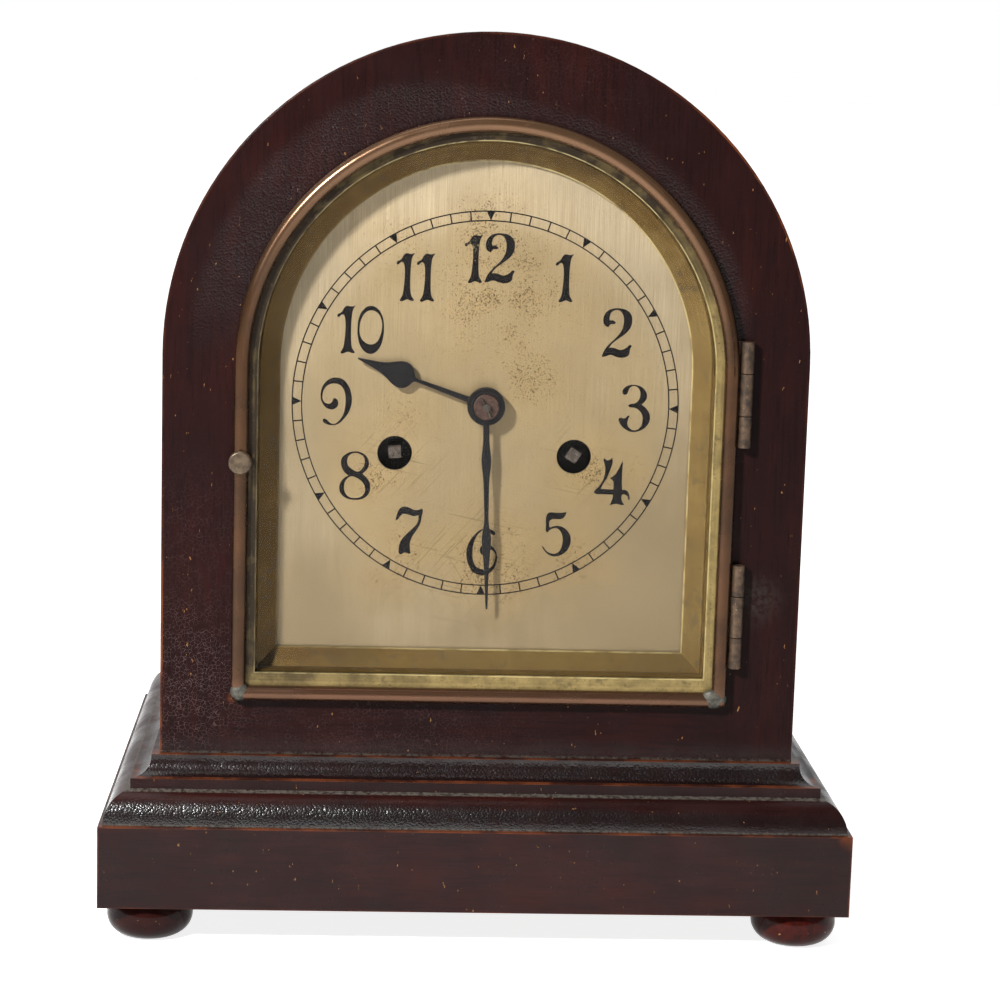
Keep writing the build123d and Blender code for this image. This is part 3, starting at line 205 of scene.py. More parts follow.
def mahogany(
    name, along, edge=None, wrinkled=None, crazed=None, dust=None, warmthAndShade=None, rail=None,
    flecking=0.03, gloss=0.045, coat=0.03, wrinkledCoat=0.3, darkened=0.15, heave=1.5,
):
    # The grain runs along one axis. The masks are made for each piece; a rail has its own grain, along X
    finish, tree, shader, place = startFinish(
        name, Specular_IOR_Level=gloss, Coat_Weight=coat, Coat_Roughness=0.26, Coat_IOR=1.5
    )
    pores = streaks(tree, place, caseWood["pores"], along, 26.0)
    figure = streaks(tree, place, caseWood["figure"], along, 7.0, detail=4.0, shift=3.0)
    if rail:
        onRail = rail(tree, place)
        pores = addNode(tree, "Mix", onRail, pores, streaks(tree, place, caseWood["railPores"], "X", 22.0))
        acrossRail = streaks(tree, place, caseWood["railFigure"], "X", 9.0, detail=4.0)
        figure = addNode(tree, "Mix", onRail, figure, acrossRail)
    blotches = grit(tree, place, 34, detail=4, roughness=0.6)
    tone = addNode(tree, "MapRange", blotches, 0.34, 0.66, 0.25, 0.75, **smooth)
    # The tone by place: on the front board this is painted shade, deepening to the right; on the moulding and
    # plinth it is the wood's own red
    if warmthAndShade:
        tone = addNode(tree, "Math", tone, warmthAndShade(tree, place), **times)
    colour = addNode(tree, "Mix", tone, caseWood["deep"], caseWood["warm"], **blend)
    for pattern, low, high, strength, hue in (
        (figure, 0.42, 0.62, 0.4, "deep"),
        (figure, 0.46, 0.3, 0.07, "lively"),
        (pores, 0.5, 0.66, 0.4, "grain"),
    ):
        share = addNode(tree, "MapRange", pattern, low, high, 0.0, strength, **smooth)
        colour = addNode(tree, "Mix", share, colour, caseWood[hue], **blend)
    cloud = grit(tree, place, 14, detail=4, roughness=0.65, shift=7.0)
    rough = addNode(tree, "MapRange", cloud, 0.3, 0.7, 0.24, 0.46, **smooth)
    relief = addNode(tree, "Math", pores, -0.12, **times)

    if wrinkled:
        # Domes on a cell pattern, over slower folds, as on leather
        cells = addNode(tree, "TexVoronoi", place, Scale=1 / (caseWood["wrinkle"] * mm))
        domes = addNode(tree, "Math", addNode(tree, "Math", cells, cells, **times), 0.3, **minus)
        folds = addNode(tree, "Math", grit(tree, place, 2.4, shift=1.0), 0.5, **minus)
        leather = addNode(tree, "Math", domes, addNode(tree, "Math", folds, 0.2, **times), **plus)
        patchy = broken(tree, wrinkled(tree, place), place, 9, 0.34, 0.6, least=0.72, shift=2.0)
        leather = addNode(tree, "Math", addNode(tree, "Math", leather, patchy, **times), heave, **times)
        relief = addNode(tree, "Math", relief, leather, **minus)
        hidden = addNode(tree, "Math", patchy, darkened, **times)
        colour = addNode(tree, "Mix", hidden, colour, caseWood["grain"], **blend)
        rough = addNode(tree, "Math", rough, addNode(tree, "Math", patchy, 0.06, **times), **minus)
        thickness = addNode(tree, "MapRange", patchy, 0.0, 1.0, coat, wrinkledCoat, **smooth)
        dress(tree, shader, Coat_Weight=thickness)
    if crazed:
        # Cell edges, bent by a coarser noise
        noise = addNode(tree, "TexNoise", place, Scale=1 / (3.0 * mm)).outputs["Color"]
        bend = addNode(tree, "VectorMath", noise, 1.6 * mm, operation="SCALE")
        bent = addNode(tree, "VectorMath", place, bend, operation="ADD")
        cracks = addNode(
            tree, "TexVoronoi", bent, Scale=1 / (caseWood["crazeCell"] * mm), feature="DISTANCE_TO_EDGE"
        )
        lines = addNode(tree, "MapRange", cracks, 0.055, 0.015, **smooth)
        lines = addNode(tree, "Math", lines, crazed(tree, place), **times)
        lines = broken(tree, lines, place, 4, 0.34, 0.52, least=0.0, shift=5.0)
        pale = addNode(tree, "Math", lines, 0.42, **times)
        colour = addNode(tree, "Mix", pale, colour, caseWood["craze"], **blend)
        relief = addNode(tree, "Math", relief, addNode(tree, "Math", lines, 0.4, **times), **minus)

    bare = flecks(tree, place, 1.5, flecking, soft=0.02, stretch=(0.7, 0.7, 1.8), shift=11.0, strength=0.6)
    colour = addNode(tree, "Mix", bare, colour, caseWood["fleck"], **blend)
    if edge:
        rubbed = broken(tree, edge(tree, place), place, 12, 0.38, 0.62, least=0.15, shift=4.0)
        bare = addNode(tree, "Math", rubbed, 0.85, **times)
        colour = addNode(tree, "Mix", bare, colour, caseWood["bare"], **blend)
        rough = addNode(tree, "Math", rough, addNode(tree, "Math", rubbed, 0.2, **times), **plus)
    if dust:
        dusty = dust(tree, place)
        settled = broken(tree, dusty, place, 1.6, 0.36, 0.6, least=0.1, detail=4, roughness=0.7, shift=9.0)
        grey = addNode(tree, "Math", settled, 0.75, **times)
        colour = addNode(tree, "Mix", grey, colour, caseWood["dust"], **blend)
        rough = addNode(tree, "Math", rough, addNode(tree, "Math", settled, 0.4, **times), **plus)
    relieved = addNode(tree, "Bump", Height=relief, Distance=0.1 * mm)
    dress(tree, shader, Base_Color=colour, Roughness=rough, Normal=relieved, Coat_Normal=relieved)
    return finish


# Places on the front board: centre and reach in mm, and strength
frontPlaces = {
    "rubbed": (((-102, -69, 90), 60), ((84, -69, 240), 70)),  # low on the left, high on the right
    "chipped": ((-79.4, -69, 77), 2.4, 0.6),  # beside the door's lower left corner
    "crazed": (  # heavy low on the left; faint up that side, along the sill and at the top
        ((-98, -69, 82), 46),
        ((-96, -69, 128), 40, 0.3),
        ((-30, -69, 64), 80, 0.35),
        ((20, -69, 278), 60, 0.15),
    ),
    "dull": ((88, -69, 112), 12, 0.2),  # under the upper hinge
}


def frontEdges(tree, place):
    # The board's outer arris
    y = addNode(tree, "SeparateXYZ", place).outputs["Y"]
    reach = archDistance(tree, place, caseSizes["archSpring"])
    half, front = caseSizes["bodyHalf"], caseSizes["front"]
    outer = addNode(tree, "MapRange", reach, (half - 0.95) * mm, (half - 0.5) * mm, **smooth)
    facing = addNode(tree, "MapRange", y, (front + 1.0) * mm, (front + 0.2) * mm, **smooth)
    worn = strongest(tree, [near(tree, place, *spot) for spot in frontPlaces["rubbed"]] + [0.15])
    arris = addNode(tree, "Math", addNode(tree, "Math", outer, facing, **times), worn, **times)
    return addNode(tree, "Math", arris, near(tree, place, *frontPlaces["chipped"]), **most)


def frontWrinkles(tree, place):
    # The shellac has shrivelled round the door's arch and just above the moulding
    reach = archDistance(tree, place, caseSizes["doorSpring"])
    x, _, z = addNode(tree, "SeparateXYZ", place).outputs
    outer = addNode(tree, "MapRange", x, 20 * mm, -40 * mm, 88 * mm, 98 * mm, **smooth)
    within = addNode(tree, "Math", reach, outer, operation="DIVIDE")
    ring = addNode(tree, "MapRange", within, 1.0, 0.93, **smooth)
    upper = addNode(tree, "MapRange", z, 170 * mm, 225 * mm, **smooth)
    foot = addNode(tree, "MapRange", z, 68 * mm, 60 * mm, 0.0, 0.6, **smooth)
    return addNode(tree, "Math", addNode(tree, "Math", ring, upper, **times), foot, **most)


def frontCrazing(tree, place):
    # Fine pale cracks
    return strongest(tree, [near(tree, place, *spot) for spot in frontPlaces["crazed"]])


def frontDust(tree, place):
    # Where the board meets the moulding, and a dull patch
    z = addNode(tree, "SeparateXYZ", place).outputs["Z"]
    low = caseSizes["bodyFoot"]
    foot = addNode(tree, "MapRange", z, (low + 1.2) * mm, (low + 0.1) * mm, 0.0, 0.6, **smooth)
    return addNode(tree, "Math", foot, near(tree, place, *frontPlaces["dull"]), **most)


def frontWarmth(tree, place):
    # Painted shade: the tone deepens a little to the right
    x = addNode(tree, "SeparateXYZ", place).outputs["X"]
    return addNode(tree, "MapRange", x, -100 * mm, 90 * mm, 0.8, 0.6, **smooth)


def bottomRail(tree, place):
    # The front board's lower rail, whose grain lies level
    x, _, z = addNode(tree, "SeparateXYZ", place).outputs
    half, foot = caseSizes["doorHalf"], caseSizes["doorFoot"]
    aside = addNode(tree, "Math", x, operation="ABSOLUTE")
    inside = addNode(tree, "MapRange", aside, (half + 0.4) * mm, (half - 0.4) * mm, **smooth)
    under = addNode(tree, "MapRange", z, (foot + 0.5) * mm, (foot - 0.5) * mm, **smooth)
    return addNode(tree, "Math", under, inside, **times)


def mouldingEdges(tree, place):
    # Thin rubbed lines on the front's arrises; the returns have hardly any
    _, y, z = addNode(tree, "SeparateXYZ", place).outputs
    onFront = addNode(tree, "MapRange", y, -60 * mm, -72 * mm, 0.12, 0.8, **smooth)
    fillet = atHeight(tree, z, caseSizes["filletTop"], 0.06, soft=0.14, strength=0.8)
    cap = atHeight(tree, z, caseSizes["capTop"] - 0.05, 0.06, soft=0.14, strength=0.6)
    toe = atHeight(tree, z, caseSizes["fasciaTop"] + 0.05, 0.05, soft=0.15, strength=0.7)
    return addNode(tree, "Math", strongest(tree, [fillet, cap, toe]), onFront, **times)


def mouldingWarmth(tree, place):
    # The bull-nose is rubbed red along its top
    z = addNode(tree, "SeparateXYZ", place).outputs["Z"]
    return addNode(tree, "Math", 0.5, atHeight(tree, z, 46.8, 0.6, soft=2.2, strength=1.3), **plus)


def mouldingWrinkles(tree, place):
    # On the hollow, and below the bull-nose's crown, where they fade away to the right
    x, y, z = addNode(tree, "SeparateXYZ", place).outputs
    bands = []
    for middle, half, soft, right, left in ((55.6, 2.8, 0.6, 0.85, 0.66), (41.8, 2.6, 4.2, 0.4, 1.0)):
        share = addNode(tree, "MapRange", x, 130 * mm, -60 * mm, right, left, **smooth)
        bands.append(addNode(tree, "Math", atHeight(tree, z, middle, half, soft), share, **times))
    onFront = addNode(tree, "MapRange", y, -60 * mm, -75 * mm, 0.45, 1.0, **smooth)
    return addNode(tree, "Math", strongest(tree, bands), onFront, **times)


def mouldingDust(tree, place):
    # Grey dust in the quirk and along the toe
    z = addNode(tree, "SeparateXYZ", place).outputs["Z"]
    quirk = atHeight(tree, z, caseSizes["quirk"], 0.15, soft=0.25)
    toe = atHeight(tree, z, caseSizes["fasciaTop"] + 0.4, 0.15, soft=0.35, strength=0.7)
    return addNode(tree, "Math", quirk, toe, **most)


def plinthEdges(tree, place):
    # Rubbed along the top and foot of the front and up its corners, with a chip at the upper right
    x, y, z = addNode(tree, "SeparateXYZ", place).outputs
    top, foot = caseSizes["fasciaTop"], caseSizes["plinthFoot"]
    upper = addNode(tree, "MapRange", z, (top - 0.5) * mm, (top - 0.15) * mm, **smooth)
    lower = addNode(tree, "MapRange", z, (foot + 0.5) * mm, (foot + 0.2) * mm, 0.0, 0.5, **smooth)
    onFront = addNode(tree, "MapRange", y, -84 * mm, -86 * mm, 0.2, 0.6, **smooth)
    lines = addNode(tree, "Math", addNode(tree, "Math", upper, lower, **most), onFront, **times)
    corner = 0.6
    for across, half in ((x, caseSizes["plinthHalf"]), (y, caseSizes["plinthDepth"])):
        beside = addNode(tree, "Math", across, operation="ABSOLUTE")
        beside = addNode(tree, "MapRange", beside, (half - 0.6) * mm, (half - 0.2) * mm, **smooth)
        corner = addNode(tree, "Math", corner, beside, **times)
    chip = near(tree, place, (119.5, -87, 38.6), 5.0, strength=3.0)  # over one, so that it has a firm edge
    return strongest(tree, [lines, corner, chip])


def plinthWarmth(tree, place):
    # Redder in the middle
    aside = addNode(tree, "Math", addNode(tree, "SeparateXYZ", place).outputs["X"], operation="ABSOLUTE")
    return addNode(tree, "MapRange", aside, 120 * mm, 40 * mm, 0.75, 1.35, **smooth)


# The same polish on each part of the case: the way of its grain, the masks of its wear and of painted shade,
# and its gloss
boards = {
    "frontMahogany": {
        "along": "Z",
        "edge": frontEdges,
        "wrinkled": frontWrinkles,
        "crazed": frontCrazing,
        "dust": frontDust,
        "warmthAndShade": frontWarmth,
        "rail": bottomRail,
    },
    "shellMahogany": {"along": "Y", "dust": frontDust},
    "mouldingMahogany": {
        "along": "X",
        "edge": mouldingEdges,
        "wrinkled": mouldingWrinkles,
        "dust": mouldingDust,
        "warmthAndShade": mouldingWarmth,
        "gloss": 0.1,
        "coat": 0.06,
        "wrinkledCoat": 1.0,
        "darkened": 0.9,
        "heave": 1.25,
    },
    "plinthMahogany": {
        "along": "X",
        "edge": plinthEdges,
        "warmthAndShade": plinthWarmth,
        "flecking": 0.035,
        "gloss": 0.14,
        "coat": 0.06,
    },
}
finishes = {name: mahogany(name, **board) for name, board in boards.items()}

# Bun feet of mahogany, turned and polished: redder and glossier than the case, with a few knocks
footWood = {"deep": "#1c0b09", "red": "#42130c"}


def polishedFoot(s):
    finish, tree, shader, place = startFinish(
        "polishedFoot", Specular_IOR_Level=0.05, Coat_Weight=0.14, Coat_Roughness=0.06, Coat_IOR=1.5
    )
    x, _, z = addNode(tree, "SeparateXYZ", place).outputs
    streak = streaks(tree, place, 2.2, "Y", 6.0, detail=4.0)
    tone = addNode(tree, "MapRange", streak, 0.3, 0.7, 0.4, 1.0, **smooth)
    redder = addNode(tree, "MapRange", x, -110 * mm, 100 * mm, 0.25, 1.0, **smooth)
    tone = addNode(tree, "Math", tone, redder, **times)
    colour = addNode(tree, "Mix", tone, s["deep"], s["red"], **blend)
    knocks = flecks(tree, place, 1.8, 0.06, soft=0.02, shift=2.0, strength=0.7)
    knocks = addNode(tree, "Math", knocks, atHeight(tree, z, 6.5, 1.2, soft=1.0), **times)
    colour = addNode(tree, "Mix", knocks, colour, caseWood["fleck"], **blend)
    rough = addNode(tree, "MapRange", grit(tree, place, 6, detail=3), 0.3, 0.7, 0.14, 0.3, **smooth)
    relieved = addNode(tree, "Bump", Height=streak, Distance=0.03 * mm)
    dress(tree, shader, Base_Color=colour, Roughness=rough, Normal=relieved)
    return finish


finishes["polishedFoot"] = polishedFoot(footWood)


def plainWood(name, light, dark, along, rough):
    # Sawn boards that were never polished
    finish, tree, shader, place = startFinish(name, Roughness=rough)
    grain = streaks(tree, place, 1.1, along, 18.0, detail=4, roughness=0.65)
    board = streaks(tree, place, 9, along, 5.0, detail=3, shift=2.0, roughness=0.5)
    shade = addNode(tree, "MapRange", board, 0.35, 0.65, **smooth)
    colour = addNode(tree, "Mix", shade, light, dark, **blend)
    pores = addNode(tree, "MapRange", grain, 0.52, 0.7, 0.0, 0.7, **smooth)
    colour = addNode(tree, "Mix", pores, colour, dark, **blend)
    relieved = addNode(tree, "Bump", Height=grain, Distance=0.08 * mm)
    dress(tree, shader, Base_Color=colour, Normal=relieved)
    return finish


# Light and dark, the way of the grain, and how rough
plainWoods = {
    # Sawn oak, left bare inside the case: light brown, dry and matt, with open grain
    "oakBoard": ("#8f6b44", "#5d4026", "X", 0.55),
    # Planed softwood, stained to match the case: dull red-brown, a little smoother
    "backWood": ("#4a2c1d", "#2c170f", "Z", 0.5),
}
for name, wood in plainWoods.items():
    finishes[name] = plainWood(name, *wood)
print("woods mixed")


def oldMetal(name, light, dark, spots, metallic, rough, size, spotting=0.04):
    # Metal with an uneven patina: clean metal, a darker film over it, and spots of corrosion
    finish, tree, shader, place = startFinish(name)
    film = grit(tree, place, size, detail=4, roughness=0.6)
    colour = addNode(tree, "Mix", addNode(tree, "MapRange", film, 0.3, 0.7, **smooth), light, dark, **blend)
    corroded = flecks(tree, place, 0.8, spotting, soft=0.04, shift=6.0)
    colour = addNode(tree, "Mix", addNode(tree, "Math", corroded, 0.7, **times), colour, spots, **blend)
    fine = grit(tree, place, 0.3, detail=3, roughness=0.6, shift=1.0)
    pitted = addNode(tree, "Math", fine, addNode(tree, "Math", corroded, -0.6, **times), **plus)
    dress(
        tree,
        shader,
        Base_Color=colour,
        Roughness=addNode(tree, "MapRange", film, 0.3, 0.7, *rough, **smooth),
        Metallic=addNode(tree, "MapRange", corroded, 0.0, 1.0, metallic, metallic * 0.5, **smooth),
        Normal=addNode(tree, "Bump", Height=pitted, Distance=0.015 * mm),
    )
    return finish


# Light, dark and spots; how metallic, how rough from and to, the film's blotches in mm, how many spots
metals = {
    # Pressed brass hinges, browned by old polish: dull, with small paler dots where it has come off
    "brownedHinge": ("#5a4634", "#2d2219", "#8f7b67", 0.45, (0.4, 0.62), 2.2, 0.09),
    # Turned bronze knob: kept half bright by fingers
    "knobBronze": ("#6b5b48", "#41352a", "#2a211b", 0.6, (0.3, 0.45), 2.5),
    # Soft lead solder, wiped by hand and oxidised: grey and matt
    "leadSolder": ("#5a574e", "#37352e", "#211f1b", 0.4, (0.5, 0.65), 1.4),
    # Rolled and lacquered clock brass, kept from the air by the case: yellow and still shiny
    "movementBrass": ("#c9a860", "#a3834a", "#6b5430", 0.9, (0.24, 0.36), 12, 0.02),
    # Polished steel arbors and levers: bright, with few spots
    "brightSteel": ("#b9b9b8", "#8f8f8e", "#5a5248", 0.9, (0.22, 0.36), 5, 0.02),
    # Plain steel screws and pins gone brown with age
    "dullSteel": ("#5c564e", "#38322c", "#241e18", 0.8, (0.3, 0.45), 2.0, 0.05),
    # Dished copper washer under the pin: red-brown, rubbed and stained
    "wornCopper": ("#5f463b", "#3a2a23", "#1c1412", 0.5, (0.34, 0.5), 1.2, 0.08),
    # Hardened steel gong, blued by its tempering
    "gongSteel": ("#3b4152", "#23262f", "#5a4a3a", 0.9, (0.25, 0.4), 6),
    # The front plate seen through the winding holes: brass painted nearly black as the shade in the holes
    "plateBrassInShade": ("#2f2416", "#1c150d", "#0f0c08", 0.3, (0.5, 0.65), 9),
    # Cast iron gong post, japanned black: matt, with rust showing
    "blackIron": ("#25231f", "#161513", "#4c3a2a", 0.2, (0.5, 0.7), 4),
}
for name, metal in metals.items():
    finishes[name] = oldMetal(name, *metal)

# Pressed brass of the door's frame, tarnished olive under old lacquer
door = {
    "sightCorner": 157.9,  # half the sight's width and the height of its foot, mm
    "film": "#463a24",
    "arris": "#d8c68f",
    "parts": {  # light and dark, and how far out the rubbed edge is, mm
        "flangeBrass": ("#9e8957", "#2a2118", 71.9),
        "sightBrass": ("#7f683a", "#553f18", 65.5),
    },
}


def doorBrass(name, light, dark, rim):
    # Fine lines follow the frame; painted shade makes it darkest to the left and above, and its inner edge is
    # rubbed bright except in that painted shade
    finish, tree, shader, place = startFinish(name, Specular_IOR_Level=0.3)
    x, _, z = addNode(tree, "SeparateXYZ", place).outputs
    below = addNode(tree, "Math", door["sightCorner"] * mm, z, **minus)
    away = addNode(tree, "Math", archDistance(tree, place, caseSizes["doorSpring"]), below, **most)
    lined = addNode(tree, "CombineXYZ", away, addNode(tree, "Math", z, 0.02, **times))
    lines = grit(tree, lined, 0.9, detail=3, roughness=0.6)
    cloud = grit(tree, place, 9, detail=5, roughness=0.65, shift=3.0)
    shade = addNode(tree, "MapRange", lines, 0.3, 0.7, 0.0, 0.2, **smooth)
    clouded = addNode(tree, "MapRange", cloud, 0.34, 0.66, 0.0, 0.35, **smooth)
    shade = addNode(tree, "Math", shade, clouded, **plus)
    # Painted shade: dark to the left, less so low down, and towards the top, where the bezel would shade it
    # from the lamp at the upper left
    shadedLeft = addNode(tree, "MapRange", x, 10 * mm, -66 * mm, 0.0, 0.8, **smooth)
    aboveFoot = addNode(tree, "MapRange", z, 82 * mm, 92 * mm, 0.35, 1.0, **smooth)
    shadedLeft = addNode(tree, "Math", shadedLeft, aboveFoot, **times)
    shadedTop = addNode(tree, "MapRange", z, 190 * mm, 250 * mm, 0.0, 0.72, **smooth)
    paintedShade = addNode(tree, "Math", shadedLeft, shadedTop, **most)
    shade = addNode(tree, "Math", shade, paintedShade, use_clamp=True, **plus)
    colour = addNode(tree, "Mix", shade, light, dark, **blend)
    stains = flecks(tree, place, 4.0, 0.16, soft=0.1, shift=6.0)
    specks = flecks(tree, place, 0.9, 0.13, soft=0.03, shift=9.0)
    for marks, strength in ((stains, 0.5), (specks, 0.6)):
        marked = addNode(tree, "Math", marks, strength, **times)
        colour = addNode(tree, "Mix", marked, colour, door["film"], **blend)
    off = addNode(tree, "Math", addNode(tree, "Math", away, rim * mm, **minus), operation="ABSOLUTE")
    edge = addNode(tree, "MapRange", off, 0.45 * mm, 0.2 * mm, 0.0, 0.5, **smooth)
    edge = broken(tree, edge, place, 6, 0.36, 0.56, least=0.25, detail=4, shift=12.0)
    edge = addNode(tree, "Math", edge, addNode(tree, "Math", 1.0, shadedLeft, **minus), **times)
    colour = addNode(tree, "Mix", edge, colour, door["arris"], **blend)
    rough = addNode(tree, "MapRange", cloud, 0.3, 0.7, 0.36, 0.5, **smooth)
    rough = addNode(tree, "Math", rough, addNode(tree, "Math", stains, 0.12, **times), **plus)
    metallic = addNode(tree, "MapRange", stains, 0.0, 1.0, 0.6, 0.3, **smooth)
    scored = addNode(tree, "Math", lines, addNode(tree, "Math", specks, -0.5, **times), **plus)
    relieved = addNode(tree, "Bump", Height=scored, Distance=0.015 * mm)
    dress(tree, shader, Base_Color=colour, Roughness=rough, Metallic=metallic, Normal=relieved)
    return finish


for name, part in door["parts"].items():
    finishes[name] = doorBrass(name, *part)

# Half-round copper moulding gone chocolate brown, with painted highlights on the top of the arch, the crown
# of the half round and the bottom
bezel = {
    "light": "#452c19",
    "dark": "#281a0f",
    "stain": "#2f221a",
    "polished": (
        ("Z", 190, 255, 0.6, "#84654c"),  # the top of the arch, mm from and to
        ("Y", -71.9, -73.2, 0.25, "#60422a"),  # the crown of the half round
        ("Z", 86, 79, 0.32, "#84604c"),  # the bottom
    ),
}


def bezelCopper(s):
    finish, tree, shader, place = startFinish("bezelCopper")
    film = grit(tree, place, 16, detail=4, roughness=0.6)
    filmed = addNode(tree, "MapRange", film, 0.3, 0.7, **smooth)
    colour = addNode(tree, "Mix", filmed, s["light"], s["dark"], **blend)
    axes = addNode(tree, "SeparateXYZ", place).outputs
    # Painted highlights: lighter towards the top of the arch, on the crown and at the bottom
    for axis, low, high, strength, hue in s["polished"]:
        share = addNode(tree, "MapRange", axes[axis], low * mm, high * mm, 0.0, strength, **smooth)
        colour = addNode(tree, "Mix", share, colour, hue, **blend)
    stained = flecks(tree, place, 3.0, 0.07, soft=0.05, shift=4.0)
    colour = addNode(tree, "Mix", addNode(tree, "Math", stained, 0.35, **times), colour, s["stain"], **blend)
    rough = addNode(tree, "MapRange", film, 0.3, 0.7, 0.2, 0.32, **smooth)
    metallic = addNode(tree, "MapRange", stained, 0.0, 1.0, 0.7, 0.4, **smooth)
    fine = grit(tree, place, 0.5, detail=3, roughness=0.6, shift=1.0)
    relieved = addNode(tree, "Bump", Height=fine, Distance=0.015 * mm)
    dress(tree, shader, Base_Color=colour, Roughness=rough, Metallic=metallic, Normal=relieved)
    return finish


finishes["bezelCopper"] = bezelCopper(bezel)

# Winding arbors of steel: the squares are polished by the key, and all behind them is painted nearly black as
# the shade in the holes
winding = {"light": "#6f655c", "dark": "#433b34", "holeShade": "#0f0d0a"}


def windingSteel(s):
    finish, tree, shader, place = startFinish("windingSteel", Specular_IOR_Level=0.12)
    y = addNode(tree, "SeparateXYZ", place).outputs["Y"]
    # Painted shade: deeper in the hole the steel turns dark and dull
    depth = addNode(tree, "MapRange", y, -55.5 * mm, -53.5 * mm, **smooth)
    film = grit(tree, place, 1.6, detail=4, roughness=0.6)
    filmed = addNode(tree, "MapRange", film, 0.3, 0.7, **smooth)
    colour = addNode(tree, "Mix", filmed, s["light"], s["dark"], **blend)
    colour = addNode(tree, "Mix", depth, colour, s["holeShade"], **blend)
    rough = addNode(tree, "MapRange", film, 0.3, 0.7, 0.26, 0.42, **smooth)
    metallic = addNode(tree, "MapRange", depth, 0.0, 1.0, 0.85, 0.1, **smooth)
    fine = grit(tree, place, 0.4, detail=3, roughness=0.6)
    relieved = addNode(tree, "Bump", Height=fine, Distance=0.01 * mm)
    dress(tree, shader, Base_Color=colour, Roughness=rough, Metallic=metallic, Normal=relieved)
    return finish


finishes["windingSteel"] = windingSteel(winding)

# Steel hands blackened with lamp-black varnish: half matt, with fine dust
hands = {"light": "#171516", "dark": "#0b0a0b", "dust": "#5a5550"}


def blackHands(s):
    finish, tree, shader, place = startFinish("blackHands", Roughness=0.42, Specular_IOR_Level=0.22)
    cloud = addNode(tree, "MapRange", grit(tree, place, 1.5, detail=4), 0.3, 0.7, **smooth)
    colour = addNode(tree, "Mix", cloud, s["dark"], s["light"], **blend)
    dusty = flecks(tree, place, 0.5, 0.05, soft=0.05, strength=0.3)
    colour = addNode(tree, "Mix", dusty, colour, s["dust"], **blend)
    fine = grit(tree, place, 0.4, detail=3, roughness=0.6)
    relieved = addNode(tree, "Bump", Height=fine, Distance=0.02 * mm)
    dress(tree, shader, Base_Color=colour, Normal=relieved)
    return finish


finishes["blackHands"] = blackHands(hands)

# Silvered brass, brushed upright under old lacquer: warm grey-gold, peppered with fine brown
# specks where the lacquer has failed near the middle, the winding holes and the six
dial = {
    "face": -59.4,  # mm, and the hub's height
    "hub": 172.0,
    "light": "#d3c09e",
    "dark": "#8e7c5c",
    "yellowed": "#9d865b",
    "bare": "#ab8a50",
    "freckle": "#37280f",
    "brushed": 0.3,  # mm between lines; the real ones are finer and wouldn't show
    "failed": (  # x and height, reach and strength of the speckled places
        (6, 206, 44, 1.0),
        (14, 182, 24, 0.9),
        (0, 226, 30, 0.9),
        (-30, 220, 26, 0.7),
        (-34, 150, 22, 0.9),
        (-26, 168, 18, 0.7),
        (34, 152, 20, 0.9),
        (3, 120, 30, 1.0),
        (-28, 122, 26, 0.8),
        (30, 120, 22, 0.8),
        (48, 150, 14, 0.6),
    ),
    "scratched": ((-28.7, 153, 24), (28.7, 153, 20), (-4, 122, 34)),  # round the holes and by the six
    "slants": ((32, 0.0), (-41, 3.0), (78, 6.0)),  # degrees from upright, and a shift of the pattern
}


def onDial(tree, place, x, height, reach, strength=1.0):
    return near(tree, place, (x, dial["face"], height), reach, strength)


